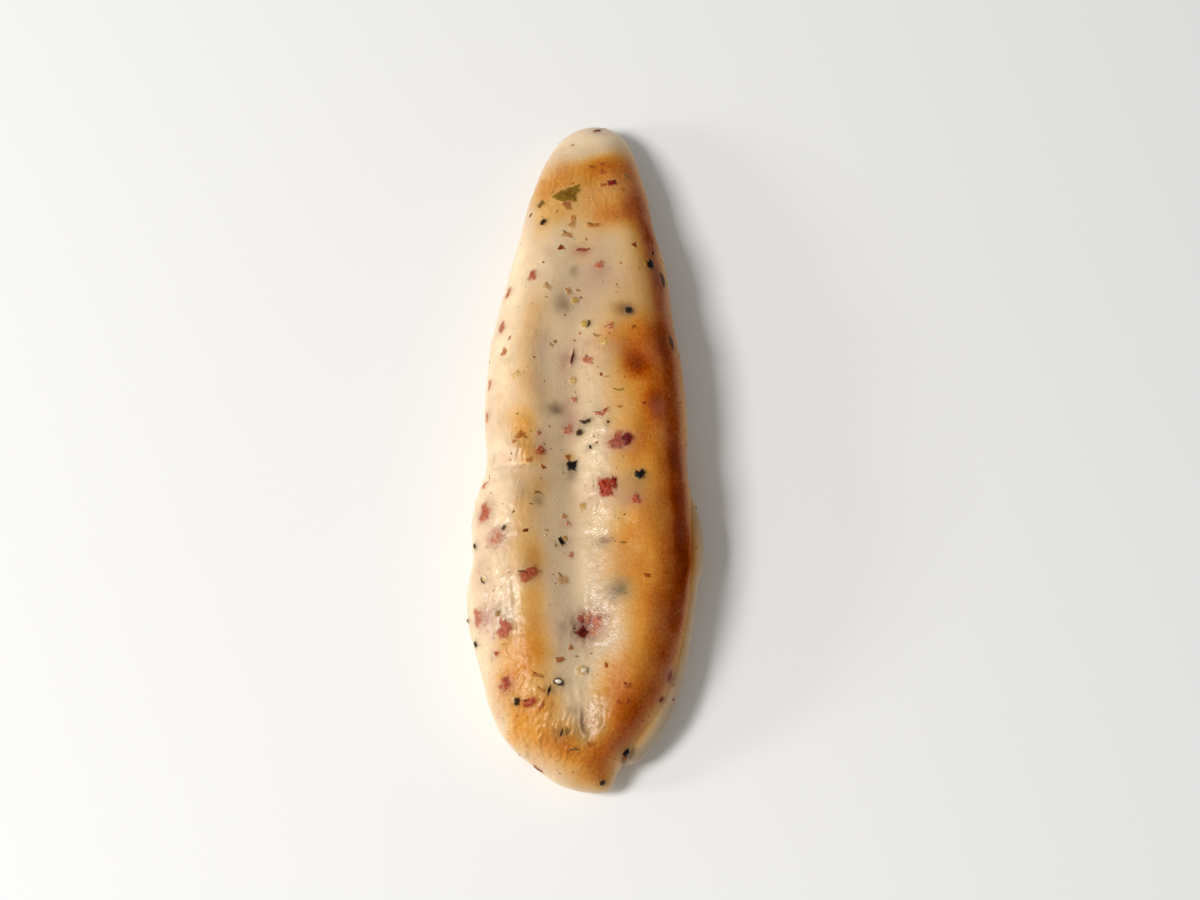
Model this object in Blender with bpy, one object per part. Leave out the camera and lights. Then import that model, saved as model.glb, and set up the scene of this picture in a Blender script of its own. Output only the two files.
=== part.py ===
# Leaf-shaped grilled kamaboko fish cake: one piece of fish paste with salami, pepper and seeds set in it.
# The narrow tip points to +Y, the small nib at the broad end to -Y, and the cake lies on its flat underside.
import math
import random

import bmesh
import bpy
import numpy as np
from mathutils import Matrix, Vector, noise
from mathutils.bvhtree import BVHTree

MM = 0.001

# Driving sizes, in millimetres
LENGTH = 115.0
WIDTH = 38.0
THICKNESS = 15.5

# Plan outline, from the tip down the left side, round the nib and up the right side
TIP_AND_LEFT = [
    (1.2, 57.5), (-1.6, 56.8), (-4.3, 54.7), (-6.8, 50.8), (-9.1, 44.8), (-11.2, 36.3), (-13.4, 27.0),
    (-15.5, 18.0), (-16.6, 5.0), (-16.1, -3.8), (-17.4, -8.8), (-18.4, -13.8), (-18.1, -20.6),
    (-19.0, -25.2), (-18.6, -31.0), (-16.9, -37.5), (-14.9, -45.0), (-11.9, -50.2), (-8.0, -53.5),
    (-4.2, -56.2),
]
NIB_AND_NOTCH = [(-0.3, -57.3), (2.2, -57.5), (3.9, -57.0), (4.7, -55.2), (5.8, -53.4), (8.3, -52.6)]
RIGHT = [
    (10.5, -50.5), (13.1, -46.6), (15.1, -41.5), (16.7, -34.0), (17.7, -27.0), (18.1, -23.8), (18.8, -21.6),
    (19.0, -17.4), (18.3, -12.4), (17.0, -8.6), (16.5, -4.0), (16.6, 3.0), (15.8, 13.0), (14.5, 21.0),
    (13.2, 31.0), (11.4, 37.6), (10.2, 44.5), (9.0, 48.8), (7.6, 53.2), (5.9, 55.8), (3.7, 57.2),
]
# Where the tall upper layer ends on the lower right: past it a lower layer of paste bulges out to the outline
UPPER_LAYER_RIGHT = [
    (-53.5, 5.9), (-50.0, 8.2), (-46.0, 11.0), (-40.0, 13.7), (-33.0, 15.5), (-26.0, 16.6), (-20.0, 16.9),
    (-14.0, 16.9), (-8.6, 17.0),
]

# Share of the thickness reached along the cake, from the nib to the tip
THICKNESS_ALONG = [
    (-57.5, 0.56), (-48.0, 0.80), (-30.0, 0.97), (-10.0, 1.0),
    (12.0, 0.97), (30.0, 0.86), (46.0, 0.72), (57.5, 0.58),
]
RIM_SHARE = 0.36
SHELF_SHARE = 0.60
# Reach of the rounded edge, inwards from the outline
LEFT_ROUND = 9.5
RIGHT_ROUND = 6.5
SHELF_ROUND = 4.5
UNDER_ROUND = 6.0
TIP_ROUND = 11.0
NIB_ROUND = 7.5
BLEND_AT_NIB = 1.0
BLEND_GROWTH = 0.12

# The long hollow that runs along the top: its line, depth and half width
HOLLOW_LINE = [
    (-57.5, 0.5), (-46.0, -0.5), (-33.0, 0.2), (-22.0, -1.8), (-6.0, -2.6),
    (8.0, -2.2), (22.0, -1.2), (40.0, -1.0), (57.5, 1.2),
]
HOLLOW_DEPTH = [
    (-57.5, 0.0), (-50.0, 0.8), (-38.0, 1.9), (-20.0, 2.4), (8.0, 2.5), (24.0, 1.8), (40.0, 0.8), (57.5, 0.0),
]
HOLLOW_HALF_WIDTH = 4.6
# The flat that the cake rests on, as its three corners: its edges bow inwards, and past them the underside rises
# at the slope, less and less steeply, towards the most that it rises
FOOT = [(-11.4, -34.0), (10.2, -34.0), (0.3, 43.0)]
FOOT_BOW = 0.8
FOOT_SLOPE = 0.17
FOOT_MOST = 1.5
# The shallow hollow inside that flat: x, y, half width, half length, depth
UNDER_HOLLOW = (-0.8, -8.0, 3.6, 28.0, 1.0)

# Dents and swells of the top, as x, y, half length along X, half length along Y, height
SWELLS = [
    (-12.0, -3.6, 4.5, 3.2, 0.8),
    (-13.4, -6.6, 5.4, 1.6, -0.9),
    (-13.0, -11.5, 4.5, 4.5, 0.5),
    (0.4, -33.0, 2.8, 2.8, -1.0),
    (7.6, -1.5, 3.6, 4.0, 0.5),
    (9.6, -16.0, 4.2, 7.5, 0.5),
    (-10.5, -24.0, 3.8, 6.5, 0.5),
    (10.0, 14.0, 4.0, 5.5, 0.4),
    (0.0, -48.0, 2.0, 3.6, -0.6),
    (6.6, -52.3, 1.8, 2.6, -0.9),
]
LUMP_HEIGHT = 0.35
LUMP_SPACING = 11.0

# The largest bits that show on top: x, y, length and width, and the turn of the length from +X in degrees
SALAMI = [
    (3.0, -10.5, 3.4, 3.1, 100), (0.4, -33.0, 3.6, 3.2, 120), (5.3, -2.8, 3.0, 2.4, 60),
    (-15.9, -14.0, 2.8, 2.5, 70), (-8.8, -25.0, 3.4, 1.8, 28), (-12.7, -33.6, 2.7, 2.3, 60),
    (-17.0, -30.8, 3.0, 1.6, 95), (-12.3, -41.8, 1.7, 1.3, 110), (-8.6, -45.0, 2.4, 1.2, 25),
    (-13.7, 18.4, 2.0, 1.5, 100), (-8.7, 27.0, 1.9, 1.2, 82), (-12.7, 25.0, 2.1, 1.1, 75),
    (-15.6, 8.8, 1.6, 1.1, 90), (-15.9, 3.5, 1.5, 1.1, 100), (-2.8, -0.2, 1.5, 1.3, 40),
    (8.0, -12.8, 1.5, 1.2, 60), (0.4, 11.7, 1.6, 1.2, -20), (4.3, 44.0, 1.5, 1.1, 15),
    (1.8, 55.4, 1.9, 0.9, 50), (2.3, 28.5, 1.3, 1.2, 30), (-0.5, 31.6, 2.1, 0.8, 0),
    (2.6, 2.3, 2.1, 1.0, 8), (-7.3, -4.3, 1.5, 1.3, 50), (-14.0, -18.5, 2.4, 1.9, 60),
    (3.9, 17.1, 1.8, 1.2, 20), (12.6, 27.2, 1.7, 1.2, 95), (13.9, 15.2, 2.0, 1.2, 100),
    (13.3, -40.0, 1.7, 1.2, 80),
]
PEPPER = [
    (-2.2, -6.2, 1.8, 1.6, 30), (10.5, 28.9, 1.6, 1.4, 45), (10.9, 31.2, 1.2, 0.8, 80),
    (8.7, -8.5, 1.8, 1.5, 20), (-3.9, -19.1, 1.5, 1.0, -40), (7.2, 19.9, 1.5, 1.3, 30),
    (-4.2, -41.9, 1.7, 1.2, 0), (-10.7, -44.8, 1.3, 1.0, 80), (6.4, -51.8, 1.4, 1.1, 20),
    (-17.6, -18.6, 1.1, 0.9, 70), (-17.3, -34.5, 1.1, 0.9, 70), (-16.2, -25.3, 1.3, 1.1, 60),
    (-0.9, -0.7, 1.1, 1.1, 0), (-7.0, 37.0, 1.2, 1.0, 70), (2.6, -56.3, 1.0, 0.9, 80),
]
MUSTARD_SEED = [
    (-0.2, 18.2, 1.4, 1.2, 80), (-1.8, 22.5, 1.2, 1.1, 0), (-2.1, 8.4, 1.2, 1.1, 90),
    (-0.2, -39.9, 1.3, 1.1, 0), (-11.2, 8.8, 1.5, 1.2, 30), (3.0, 14.6, 1.2, 1.0, 80),
    (1.8, 15.9, 1.4, 1.0, -20), (-7.6, -11.4, 1.4, 1.2, 0), (6.6, 45.7, 1.1, 1.0, 30),
    (-1.7, -52.0, 1.4, 1.2, 0), (-3.0, -49.3, 1.2, 1.0, 60),
]
CHILI_FLAKE = [
    (1.3, 36.1, 2.3, 0.8, 0), (-2.2, 37.0, 2.2, 1.0, 82), (-3.1, 34.4, 1.7, 1.0, -12),
    (-4.0, 32.1, 1.4, 1.2, 60), (8.0, 32.0, 1.1, 1.0, 60), (-6.3, 24.6, 1.4, 0.9, -35),
    (-2.9, 24.2, 1.2, 0.9, 110), (-10.5, -1.7, 1.4, 1.2, 60), (-8.9, -5.9, 1.4, 1.0, 40),
    (-6.9, -6.9, 1.2, 0.7, -30), (-2.7, -4.7, 1.2, 0.9, 130), (-13.2, 13.5, 1.5, 1.3, 60),
    (-3.9, -38.4, 1.5, 0.9, 15), (-2.2, -36.5, 1.1, 1.0, 60), (-7.4, -41.0, 2.0, 0.7, -15),
    (-6.7, -45.7, 1.5, 0.8, 65), (6.6, -42.6, 1.4, 1.0, 0), (5.2, -45.1, 1.1, 0.9, 30),
    (9.7, -25.3, 1.1, 0.8, 0), (2.7, 46.2, 1.3, 1.0, -40), (-9.5, -17.9, 1.1, 0.9, 30),
    (0.9, -51.3, 1.1, 0.9, 30),
]
HERB_LEAF = [
    (-3.2, 42.2, 4.4, 2.7, 12), (-7.5, 40.8, 1.4, 1.1, 40), (5.3, 6.0, 1.8, 0.7, -5),
    (-13.8, -31.0, 1.1, 1.0, 0),
]
# How far the bits stand out of the skin and reach into the paste
SCRAP_PROUD = 0.25
GRAIN_PROUD = 0.35
ROOT = 0.7
# Further bits out of sight, spread over the sides and in the hollow underneath
SIDE_BITS = 9
UNDER_BITS = 18
UNDER_CLEARANCE = 0.7
BIT_SPACING = 4.5
SEED = 7
SMALLEST_BIT, LARGEST_BIT = 1.1, 2.2

# Mesh fineness
OUTLINE_STEPS = 10
STATIONS = 78
OVER_STEPS = 30
UNDER_STEPS = 14
END_CROWDING = 0.8
SCRAP_CORNERS = 6


def smooth_loop(points, steps):
    """A closed smooth curve through the points, each span cut in that many steps."""
    here = np.array(points, float)
    back, ahead, beyond = np.roll(here, 1, 0), np.roll(here, -1, 0), np.roll(here, -2, 0)

    def gap(a, b):
        return np.sqrt(np.linalg.norm(b - a, axis=1))[:, None]

    first, middle, last = gap(back, here), gap(here, ahead), gap(ahead, beyond)
    leave = ahead - here + middle * ((here - back) / first - (ahead - back) / (first + middle))
    arrive = ahead - here + middle * ((beyond - ahead) / last - (beyond - here) / (middle + last))
    curve = []
    for t in np.arange(steps) / steps:
        curve.append(
            (2 * t**3 - 3 * t**2 + 1) * here
            + (t**3 - 2 * t**2 + t) * leave
            + (3 * t**2 - 2 * t**3) * ahead
            + (t**3 - t**2) * arrive
        )
    return np.stack(curve, 1).reshape(-1, 2)


def along(y, stations):
    """A value given at stations along the cake, smooth between them."""
    at, value = np.array(stations, float).T
    slope = np.gradient(value, at)
    i = np.clip(np.searchsorted(at, y) - 1, 0, len(at) - 2)
    span = at[i + 1] - at[i]
    t = np.clip((y - at[i]) / span, 0, 1)
    return (
        (2 * t**3 - 3 * t**2 + 1) * value[i]
        + (t**3 - 2 * t**2 + t) * span * slope[i]
        + (3 * t**2 - 2 * t**3) * value[i + 1]
        + (t**3 - t**2) * span * slope[i + 1]
    )


def outline_sides():
    """The outline's left and right edges at the driving length and width, each as rising y and its x."""
    loop = smooth_loop(TIP_AND_LEFT + NIB_AND_NOTCH + RIGHT, OUTLINE_STEPS)
    low, high = loop.min(0), loop.max(0)
    loop = (loop - (low + high) / 2) / (high - low) * (WIDTH, LENGTH)
    loop = np.roll(loop, -int(loop[:, 1].argmax()), 0)
    nib = int(loop[:, 1].argmin())
    left = loop[: nib + 1][::-1]
    right = np.vstack([loop[nib:], loop[:1]])
    return [(np.maximum.accumulate(side[:, 1]), side[:, 0]) for side in (left, right)]


LEFT_SIDE, RIGHT_SIDE = outline_sides()
NIB_Y, TIP_Y = -LENGTH / 2, LENGTH / 2


def edges(y):
    """The outline's left and right x at y."""
    return np.interp(y, *LEFT_SIDE), np.interp(y, *RIGHT_SIDE)


def quarter_round(distance, reach):
    """0 at the edge and 1 from the reach inwards, along a quarter circle."""
    return np.sqrt(1 - (1 - np.clip(distance / reach, 0, 1)) ** 2)


def bell(x, y, swell):
    """A smooth rise with a flat foot, nowhere outside its two half lengths."""
    centre_x, centre_y, half_x, half_y, height = swell
    away = np.hypot((x - centre_x) / half_x, (y - centre_y) / half_y)
    return height * np.cos(np.clip(away, 0, 1) * math.pi / 2) ** 2


def lumps(x, y, spacing):
    """Uneven low lumps of the paste, from -1 to 1."""
    flat = zip(np.ravel(x), np.ravel(y))
    return np.reshape([noise.noise(Vector((a / spacing, b / spacing, 0.5))) for a, b in flat], np.shape(x))


def full_height(y):
    return THICKNESS * along(y, THICKNESS_ALONG)


def rim_height(y):
    return RIM_SHARE * full_height(y)


def ends_round(y):
    return quarter_round(TIP_Y - y, TIP_ROUND) * quarter_round(y - NIB_Y, NIB_ROUND)


def layer(x, y, left, right, left_round, right_round, height):
    """Height of one layer of paste above the rim, between its own left and right edges."""
    half = (right - left) / 2
    over_left = quarter_round(x - left, np.minimum(left_round, half))
    over_right = quarter_round(right - x, np.minimum(right_round, half))
    return (height - rim_height(y)) * over_left * over_right * ends_round(y)


def top_height(x, y):
    """Height of the top skin over the plane that the cake rests on."""
    left, right = edges(y)
    upper_right = np.where(y < UPPER_LAYER_RIGHT[-1][0], along(y, UPPER_LAYER_RIGHT), right)
    upper_right = np.minimum(upper_right, right)
    upper = layer(x, y, left, upper_right, LEFT_ROUND, RIGHT_ROUND, full_height(y))
    shelf = layer(x, y, left, right, LEFT_ROUND, SHELF_ROUND, SHELF_SHARE * full_height(y))
    blend = BLEND_AT_NIB + BLEND_GROWTH * (y - NIB_Y)
    overlap = np.clip(1 - np.abs(upper - shelf) / blend, 0, 1)
    fillet = overlap**2 * blend / 4 * np.clip(shelf, 0, 1) * (upper_right < right)
    raised = np.maximum(upper, shelf) + fillet
    crown = np.clip(raised / (full_height(y) - rim_height(y)), 0, 1)
    hollow = along(y, HOLLOW_DEPTH) * np.exp(-(((x - along(y, HOLLOW_LINE)) / HOLLOW_HALF_WIDTH) ** 2))
    relief = sum(bell(x, y, swell) for swell in SWELLS) + LUMP_HEIGHT * lumps(x, y, LUMP_SPACING)
    return rim_height(y) + raised + (relief - hollow) * crown


def foot_rise(x, y):
    """How far the underside has risen at a place: 0 on the flat that the cake rests on."""
    outside = np.zeros(np.shape(x))
    for (start_x, start_y), (end_x, end_y) in zip(FOOT, FOOT[1:] + FOOT[:1]):
        along_x, along_y = end_x - start_x, end_y - start_y
        length = math.hypot(along_x, along_y)
        share = np.clip(((x - start_x) * along_x + (y - start_y) * along_y) / length**2, 0, 1)
        away = ((x - start_x) * along_y - (y - start_y) * along_x) / length
        outside = np.maximum(outside, away + 4 * FOOT_BOW * share * (1 - share))
    return FOOT_MOST * (1 - np.exp(-FOOT_SLOPE / FOOT_MOST * outside))


def under_height(x, y):
    """Height of the underside, exactly 0 on its flat."""
    left, right = edges(y)
    reach = np.minimum(UNDER_ROUND, (right - left) / 2)
    down = quarter_round(x - left, reach) * quarter_round(right - x, reach) * ends_round(y)
    return rim_height(y) * (1 - down) + foot_rise(x, y) * down + bell(x, y, UNDER_HOLLOW)


def station_ys():
    """Places of the cross-sections, closer together towards both ends."""
    t = np.arange(1, STATIONS) / STATIONS
    crowded = (1 - END_CROWDING) * t + END_CROWDING * (1 - np.cos(math.pi * t)) / 2
    return NIB_Y + LENGTH * crowded


def section(y):
    """One closed cross-section: over the top from left to right, then back underneath."""
    left, right = edges(y)
    middle, half = (left + right) / 2, (right - left) / 2
    over = middle - half * np.cos(math.pi * np.arange(1, OVER_STEPS) / OVER_STEPS)
    under = middle + half * np.cos(math.pi * np.arange(1, UNDER_STEPS) / UNDER_STEPS)
    rim = float(rim_height(y))
    ring = [(left, y, rim)]
    ring += [(x, y, z) for x, z in zip(over, top_height(over, np.full_like(over, y)))]
    ring += [(right, y, rim)]
    ring += [(x, y, z) for x, z in zip(under, under_height(under, np.full_like(under, y)))]
    return ring


def paste_body():
    """The cake's own body, lofted through its cross-sections and closed in a point at each end."""
    shape = bmesh.new()
    rings = [[shape.verts.new(Vector(p) * MM) for p in section(float(y))] for y in station_ys()]
    for x, y in FOOT:
        corner = Vector((x, y, 0)) * MM
        nearest = min((v for ring in rings for v in ring[OVER_STEPS + 1 :]), key=lambda v: (v.co - corner).length)
        nearest.co = corner
    count = len(rings[0])
    for near, far in zip(rings, rings[1:]):
        for i in range(count):
            j = (i + 1) % count
            shape.faces.new((near[i], far[i], far[j], near[j]))
    for ring, end_y in ((rings[0], NIB_Y), (rings[-1], TIP_Y)):
        left, right = edges(end_y)
        pole = shape.verts.new(Vector(((left + right) / 2, end_y, float(rim_height(end_y)))) * MM)
        for i in range(count):
            shape.faces.new((ring[i], ring[(i + 1) % count], pole))
    bmesh.ops.triangulate(shape, faces=shape.faces)
    bmesh.ops.recalc_face_normals(shape, faces=shape.faces)
    return finished(shape, "fish_cake", bpy.context.scene.collection)


def finished(shape, name, collection):
    """An object of the shape, linked to the collection."""
    mesh = bpy.data.meshes.new(name)
    shape.to_mesh(mesh)
    shape.free()
    piece = bpy.data.objects.new(name, mesh)
    collection.objects.link(piece)
    return piece


def scrap(length, width, draw):
    """A flat scrap of meat, skin or leaf: an uneven polygon, wider at its root than at its top."""
    shape = bmesh.new()
    turns = [2 * math.pi * (i + draw.uniform(-0.2, 0.2)) / SCRAP_CORNERS for i in range(SCRAP_CORNERS)]
    reach = [draw.uniform(0.42, 0.54) for _ in turns]
    rings = []
    for share, height in ((1.05, -ROOT), (0.85, SCRAP_PROUD)):
        ring = []
        for angle, far in zip(turns, reach):
            corner = (far * share * length * math.cos(angle), far * share * width * math.sin(angle), height)
            ring.append(shape.verts.new(Vector(corner) * MM))
        rings.append(ring)
    root, top = rings
    shape.faces.new(reversed(root))
    shape.faces.new(top)
    for i in range(SCRAP_CORNERS):
        j = (i + 1) % SCRAP_CORNERS
        shape.faces.new((root[i], root[j], top[j], top[i]))
    return shape


def grain(length, width, draw):
    """A pepper grain or a seed: a low uneven ball, sunk to less than half."""
    shape = bmesh.new()
    bmesh.ops.create_icosphere(shape, subdivisions=1, radius=0.5)
    height = min(length, width)
    for corner in shape.verts:
        x, y, z = corner.co * draw.uniform(0.92, 1.1)
        corner.co = Vector((x * length, y * width, z * height - height / 2 + GRAIN_PROUD)) * MM
    return shape


def side_rays(draw):
    """Seeded rays that meet the two sides below the rim, evenly along the cake."""
    rays = []
    for side in (-1, 1):
        for i in range(SIDE_BITS):
            y = NIB_Y + LENGTH * (i + 1 + draw.uniform(-0.3, 0.3)) / (SIDE_BITS + 1)
            z = draw.uniform(0.6, 0.85) * float(rim_height(y))
            rays.append((Vector((side * WIDTH, y, z)), Vector((-side, 0, 0))))
    return rays


def under_rays(tree, draw):
    """Seeded rays from below that miss the flat and each other, so that no bit lifts the cake."""
    up = Vector((0, 0, 1))
    starts = []
    while len(starts) < UNDER_BITS:
        start = Vector((draw.uniform(-WIDTH, WIDTH) / 2, draw.uniform(NIB_Y, TIP_Y), -THICKNESS))
        hit = tree.ray_cast(start * MM, up)[0]
        clear = hit is not None and UNDER_CLEARANCE < hit.z / MM < rim_height(start.y) - UNDER_CLEARANCE
        if clear and all((start - other).length > BIT_SPACING for other in starts):
            starts.append(start)
    return [(start, up) for start in starts]


def set_in(tree, start, aim, turn):
    """Where a ray meets the skin: a matrix with Z out of the skin and X along the turn."""
    place, normal, _, _ = tree.ray_cast(start * MM, aim)
    side = normal.cross(Vector((math.cos(turn), math.sin(turn), 0.01))).normalized()
    return Matrix.Translation(place) @ Matrix((side.cross(normal), side, normal)).transposed().to_4x4()


def make_bits(cake, group):
    """Every bit as an object of the group: those that show on top by place, the others by seeded rule."""
    draw = random.Random(SEED)
    corners = [corner.co for corner in cake.data.vertices]
    tree = BVHTree.FromPolygons(corners, [face.vertices[:] for face in cake.data.polygons])
    for make, places in ((scrap, SALAMI + CHILI_FLAKE + HERB_LEAF), (grain, PEPPER + MUSTARD_SEED)):
        for x, y, length, width, turn in places:
            bit = finished(make(length, width, draw), "bit", group)
            above = Vector((x, y, 2 * THICKNESS))
            bit.matrix_world = set_in(tree, above, Vector((0, 0, -1)), math.radians(turn))
    for i, (start, aim) in enumerate(side_rays(draw) + under_rays(tree, draw)):
        make = grain if i % 3 == 0 else scrap
        length = draw.uniform(SMALLEST_BIT, LARGEST_BIT)
        bit = finished(make(length, length * draw.uniform(0.6, 0.9), draw), "bit", group)
        bit.matrix_world = set_in(tree, start, aim, draw.uniform(0, math.pi))


def join_bits(cake):
    """Set the bits in and join them to the cake by one Boolean union."""
    group = bpy.data.collections.new("bits")
    bpy.context.scene.collection.children.link(group)
    make_bits(cake, group)
    union = cake.modifiers.new("bits_joined", "BOOLEAN")
    union.operand_type = "COLLECTION"
    union.collection = group
    union.operation = "UNION"
    union.solver = "EXACT"
    bpy.context.view_layer.update()
    joined = bpy.data.meshes.new_from_object(cake.evaluated_get(bpy.context.evaluated_depsgraph_get()))
    cake.modifiers.remove(union)
    cake.data = joined
    for bit in list(group.objects):
        bpy.data.objects.remove(bit)
    bpy.data.collections.remove(group)


def paste_material():
    material = bpy.data.materials.new("grilled_fish_paste")
    material.use_nodes = True
    shader = material.node_tree.nodes["Principled BSDF"]
    shader.inputs["Base Color"].default_value = (0.72, 0.45, 0.20, 1)
    shader.inputs["Roughness"].default_value = 0.38
    shader.inputs["Metallic"].default_value = 0.0
    return material


def main():
    for old in list(bpy.data.objects):
        bpy.data.objects.remove(old)
    cake = paste_body()
    join_bits(cake)
    cake.data.materials.clear()
    cake.data.materials.append(paste_material())


main()
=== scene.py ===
import math
import random

import bmesh
import bpy
import numpy as np
from mathutils import Matrix, Vector, noise
from mathutils.bvhtree import BVHTree


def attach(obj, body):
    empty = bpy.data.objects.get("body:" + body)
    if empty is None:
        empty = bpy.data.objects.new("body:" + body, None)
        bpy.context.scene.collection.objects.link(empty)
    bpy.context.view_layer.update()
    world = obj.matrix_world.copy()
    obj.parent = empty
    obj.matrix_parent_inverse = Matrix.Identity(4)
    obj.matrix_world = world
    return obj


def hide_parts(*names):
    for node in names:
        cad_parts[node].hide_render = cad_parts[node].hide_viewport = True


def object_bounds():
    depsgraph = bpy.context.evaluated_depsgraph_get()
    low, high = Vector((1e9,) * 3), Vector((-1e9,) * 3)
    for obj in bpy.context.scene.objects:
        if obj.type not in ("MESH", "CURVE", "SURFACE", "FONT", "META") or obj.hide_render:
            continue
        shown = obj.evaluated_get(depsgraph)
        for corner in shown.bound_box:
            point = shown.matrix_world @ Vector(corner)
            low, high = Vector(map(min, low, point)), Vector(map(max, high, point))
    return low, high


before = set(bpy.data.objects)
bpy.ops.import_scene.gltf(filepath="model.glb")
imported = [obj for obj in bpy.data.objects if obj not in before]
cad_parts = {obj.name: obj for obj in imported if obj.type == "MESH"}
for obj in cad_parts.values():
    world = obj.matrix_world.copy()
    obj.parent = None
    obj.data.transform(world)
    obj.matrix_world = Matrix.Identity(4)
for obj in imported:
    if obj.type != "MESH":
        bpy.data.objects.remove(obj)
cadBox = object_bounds()
mm = 0.001
node = "fish_cake"
body = "root"

# The cake's form, as in its solid: millimetres, tip towards +Y, resting on z = 0
cakeForm = {
    "length": 115.0,
    "width": 38.0,
    "thickness": 15.5,
    # plan outline, from the tip down the left side, round the nib and up the right side
    "tipAndLeft": [
        (1.2, 57.5), (-1.6, 56.8), (-4.3, 54.7), (-6.8, 50.8), (-9.1, 44.8), (-11.2, 36.3), (-13.4, 27.0),
        (-15.5, 18.0), (-16.6, 5.0), (-16.1, -3.8), (-17.4, -8.8), (-18.4, -13.8), (-18.1, -20.6),
        (-19.0, -25.2), (-18.6, -31.0), (-16.9, -37.5), (-14.9, -45.0), (-11.9, -50.2), (-8.0, -53.5),
        (-4.2, -56.2),
    ],
    "nibAndNotch": [(-0.3, -57.3), (2.2, -57.5), (3.9, -57.0), (4.7, -55.2), (5.8, -53.4), (8.3, -52.6)],
    "right": [
        (10.5, -50.5), (13.1, -46.6), (15.1, -41.5), (16.7, -34.0), (17.7, -27.0), (18.1, -23.8),
        (18.8, -21.6), (19.0, -17.4), (18.3, -12.4), (17.0, -8.6), (16.5, -4.0), (16.6, 3.0), (15.8, 13.0),
        (14.5, 21.0), (13.2, 31.0), (11.4, 37.6), (10.2, 44.5), (9.0, 48.8), (7.6, 53.2), (5.9, 55.8),
        (3.7, 57.2),
    ],
    # right edge of the tall upper layer, past which a lower layer bulges out
    "upperLayerRight": [
        (-53.5, 5.9), (-50.0, 8.2), (-46.0, 11.0), (-40.0, 13.7), (-33.0, 15.5), (-26.0, 16.6),
        (-20.0, 16.9), (-14.0, 16.9), (-8.6, 17.0),
    ],
    "thicknessAlong": [
        (-57.5, 0.56), (-48.0, 0.8), (-30.0, 0.97), (-10.0, 1.0), (12.0, 0.97), (30.0, 0.86), (46.0, 0.72),
        (57.5, 0.58),
    ],
    "rimShare": 0.36,
    "shelfShare": 0.6,
    "leftRound": 9.5,
    "rightRound": 6.5,
    "shelfRound": 4.5,
    "underRound": 6.0,
    "tipRound": 11.0,
    "nibRound": 7.5,
    "blendAtNib": 1.0,
    "blendGrowth": 0.12,
    "hollowLine": [
        (-57.5, 0.5), (-46.0, -0.5), (-33.0, 0.2), (-22.0, -1.8), (-6.0, -2.6), (8.0, -2.2), (22.0, -1.2),
        (40.0, -1.0), (57.5, 1.2),
    ],
    "hollowDepth": [
        (-57.5, 0.0), (-50.0, 0.8), (-38.0, 1.9), (-20.0, 2.4), (8.0, 2.5), (24.0, 1.8), (40.0, 0.8),
        (57.5, 0.0),
    ],
    "hollowHalfWidth": 4.6,
    # the flat that it rests on: three corners, the bow of its edges and the rise past them
    "foot": [(-11.4, -34.0), (10.2, -34.0), (0.3, 43.0)],
    "footBow": 0.8,
    "footSlope": 0.17,
    "footMost": 1.5,
    "underHollow": (-0.8, -8.0, 3.6, 28.0, 1.0),
    # x, y, half length along X, half length along Y, height
    "swells": [
        (-12.0, -3.6, 4.5, 3.2, 0.8), (-13.4, -6.6, 5.4, 1.6, -0.9), (-13.0, -11.5, 4.5, 4.5, 0.5),
        (0.4, -33.0, 2.8, 2.8, -1.0), (7.6, -1.5, 3.6, 4.0, 0.5), (9.6, -16.0, 4.2, 7.5, 0.5),
        (-10.5, -24.0, 3.8, 6.5, 0.5), (10.0, 14.0, 4.0, 5.5, 0.4), (0.0, -48.0, 2.0, 3.6, -0.6),
        (6.6, -52.3, 1.8, 2.6, -0.9),
    ],
    "lumpHeight": 0.35,
    "lumpSpacing": 11.0,
}
nibY, tipY = -cakeForm["length"] / 2, cakeForm["length"] / 2


def smoothLoop(points, steps):
    # a closed smooth curve through the points, each span cut in that many steps
    here = np.array(points, float)
    back, ahead, beyond = np.roll(here, 1, 0), np.roll(here, -1, 0), np.roll(here, -2, 0)
    spans = ((back, here), (here, ahead), (ahead, beyond))
    first, middle, last = [np.sqrt(np.linalg.norm(b - a, axis=1))[:, None] for a, b in spans]
    leave = ahead - here + middle * ((here - back) / first - (ahead - back) / (first + middle))
    arrive = ahead - here + middle * ((beyond - ahead) / last - (beyond - here) / (middle + last))
    curve = []
    for t in np.arange(steps) / steps:
        ends = (2 * t**3 - 3 * t**2 + 1) * here + (3 * t**2 - 2 * t**3) * ahead
        curve.append(ends + (t**3 - 2 * t**2 + t) * leave + (t**3 - t**2) * arrive)
    return np.stack(curve, 1).reshape(-1, 2)


def along(y, stations):
    # a value given at stations along the cake, smooth between them
    at, value = np.array(stations, float).T
    slope = np.gradient(value, at)
    i = np.clip(np.searchsorted(at, y) - 1, 0, len(at) - 2)
    span = at[i + 1] - at[i]
    t = np.clip((y - at[i]) / span, 0, 1)
    ends = (2 * t**3 - 3 * t**2 + 1) * value[i] + (3 * t**2 - 2 * t**3) * value[i + 1]
    return ends + (t**3 - 2 * t**2 + t) * span * slope[i] + (t**3 - t**2) * span * slope[i + 1]


def outlineSides():
    loop = smoothLoop(cakeForm["tipAndLeft"] + cakeForm["nibAndNotch"] + cakeForm["right"], 10)
    low, high = loop.min(0), loop.max(0)
    loop = (loop - (low + high) / 2) / (high - low) * (cakeForm["width"], cakeForm["length"])
    loop = np.roll(loop, -int(loop[:, 1].argmax()), 0)
    nib = int(loop[:, 1].argmin())
    sides = (loop[: nib + 1][::-1], np.vstack([loop[nib:], loop[:1]]))
    return [(np.maximum.accumulate(side[:, 1]), side[:, 0]) for side in sides]


leftSide, rightSide = outlineSides()


def edges(y):
    return np.interp(y, *leftSide), np.interp(y, *rightSide)


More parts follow.
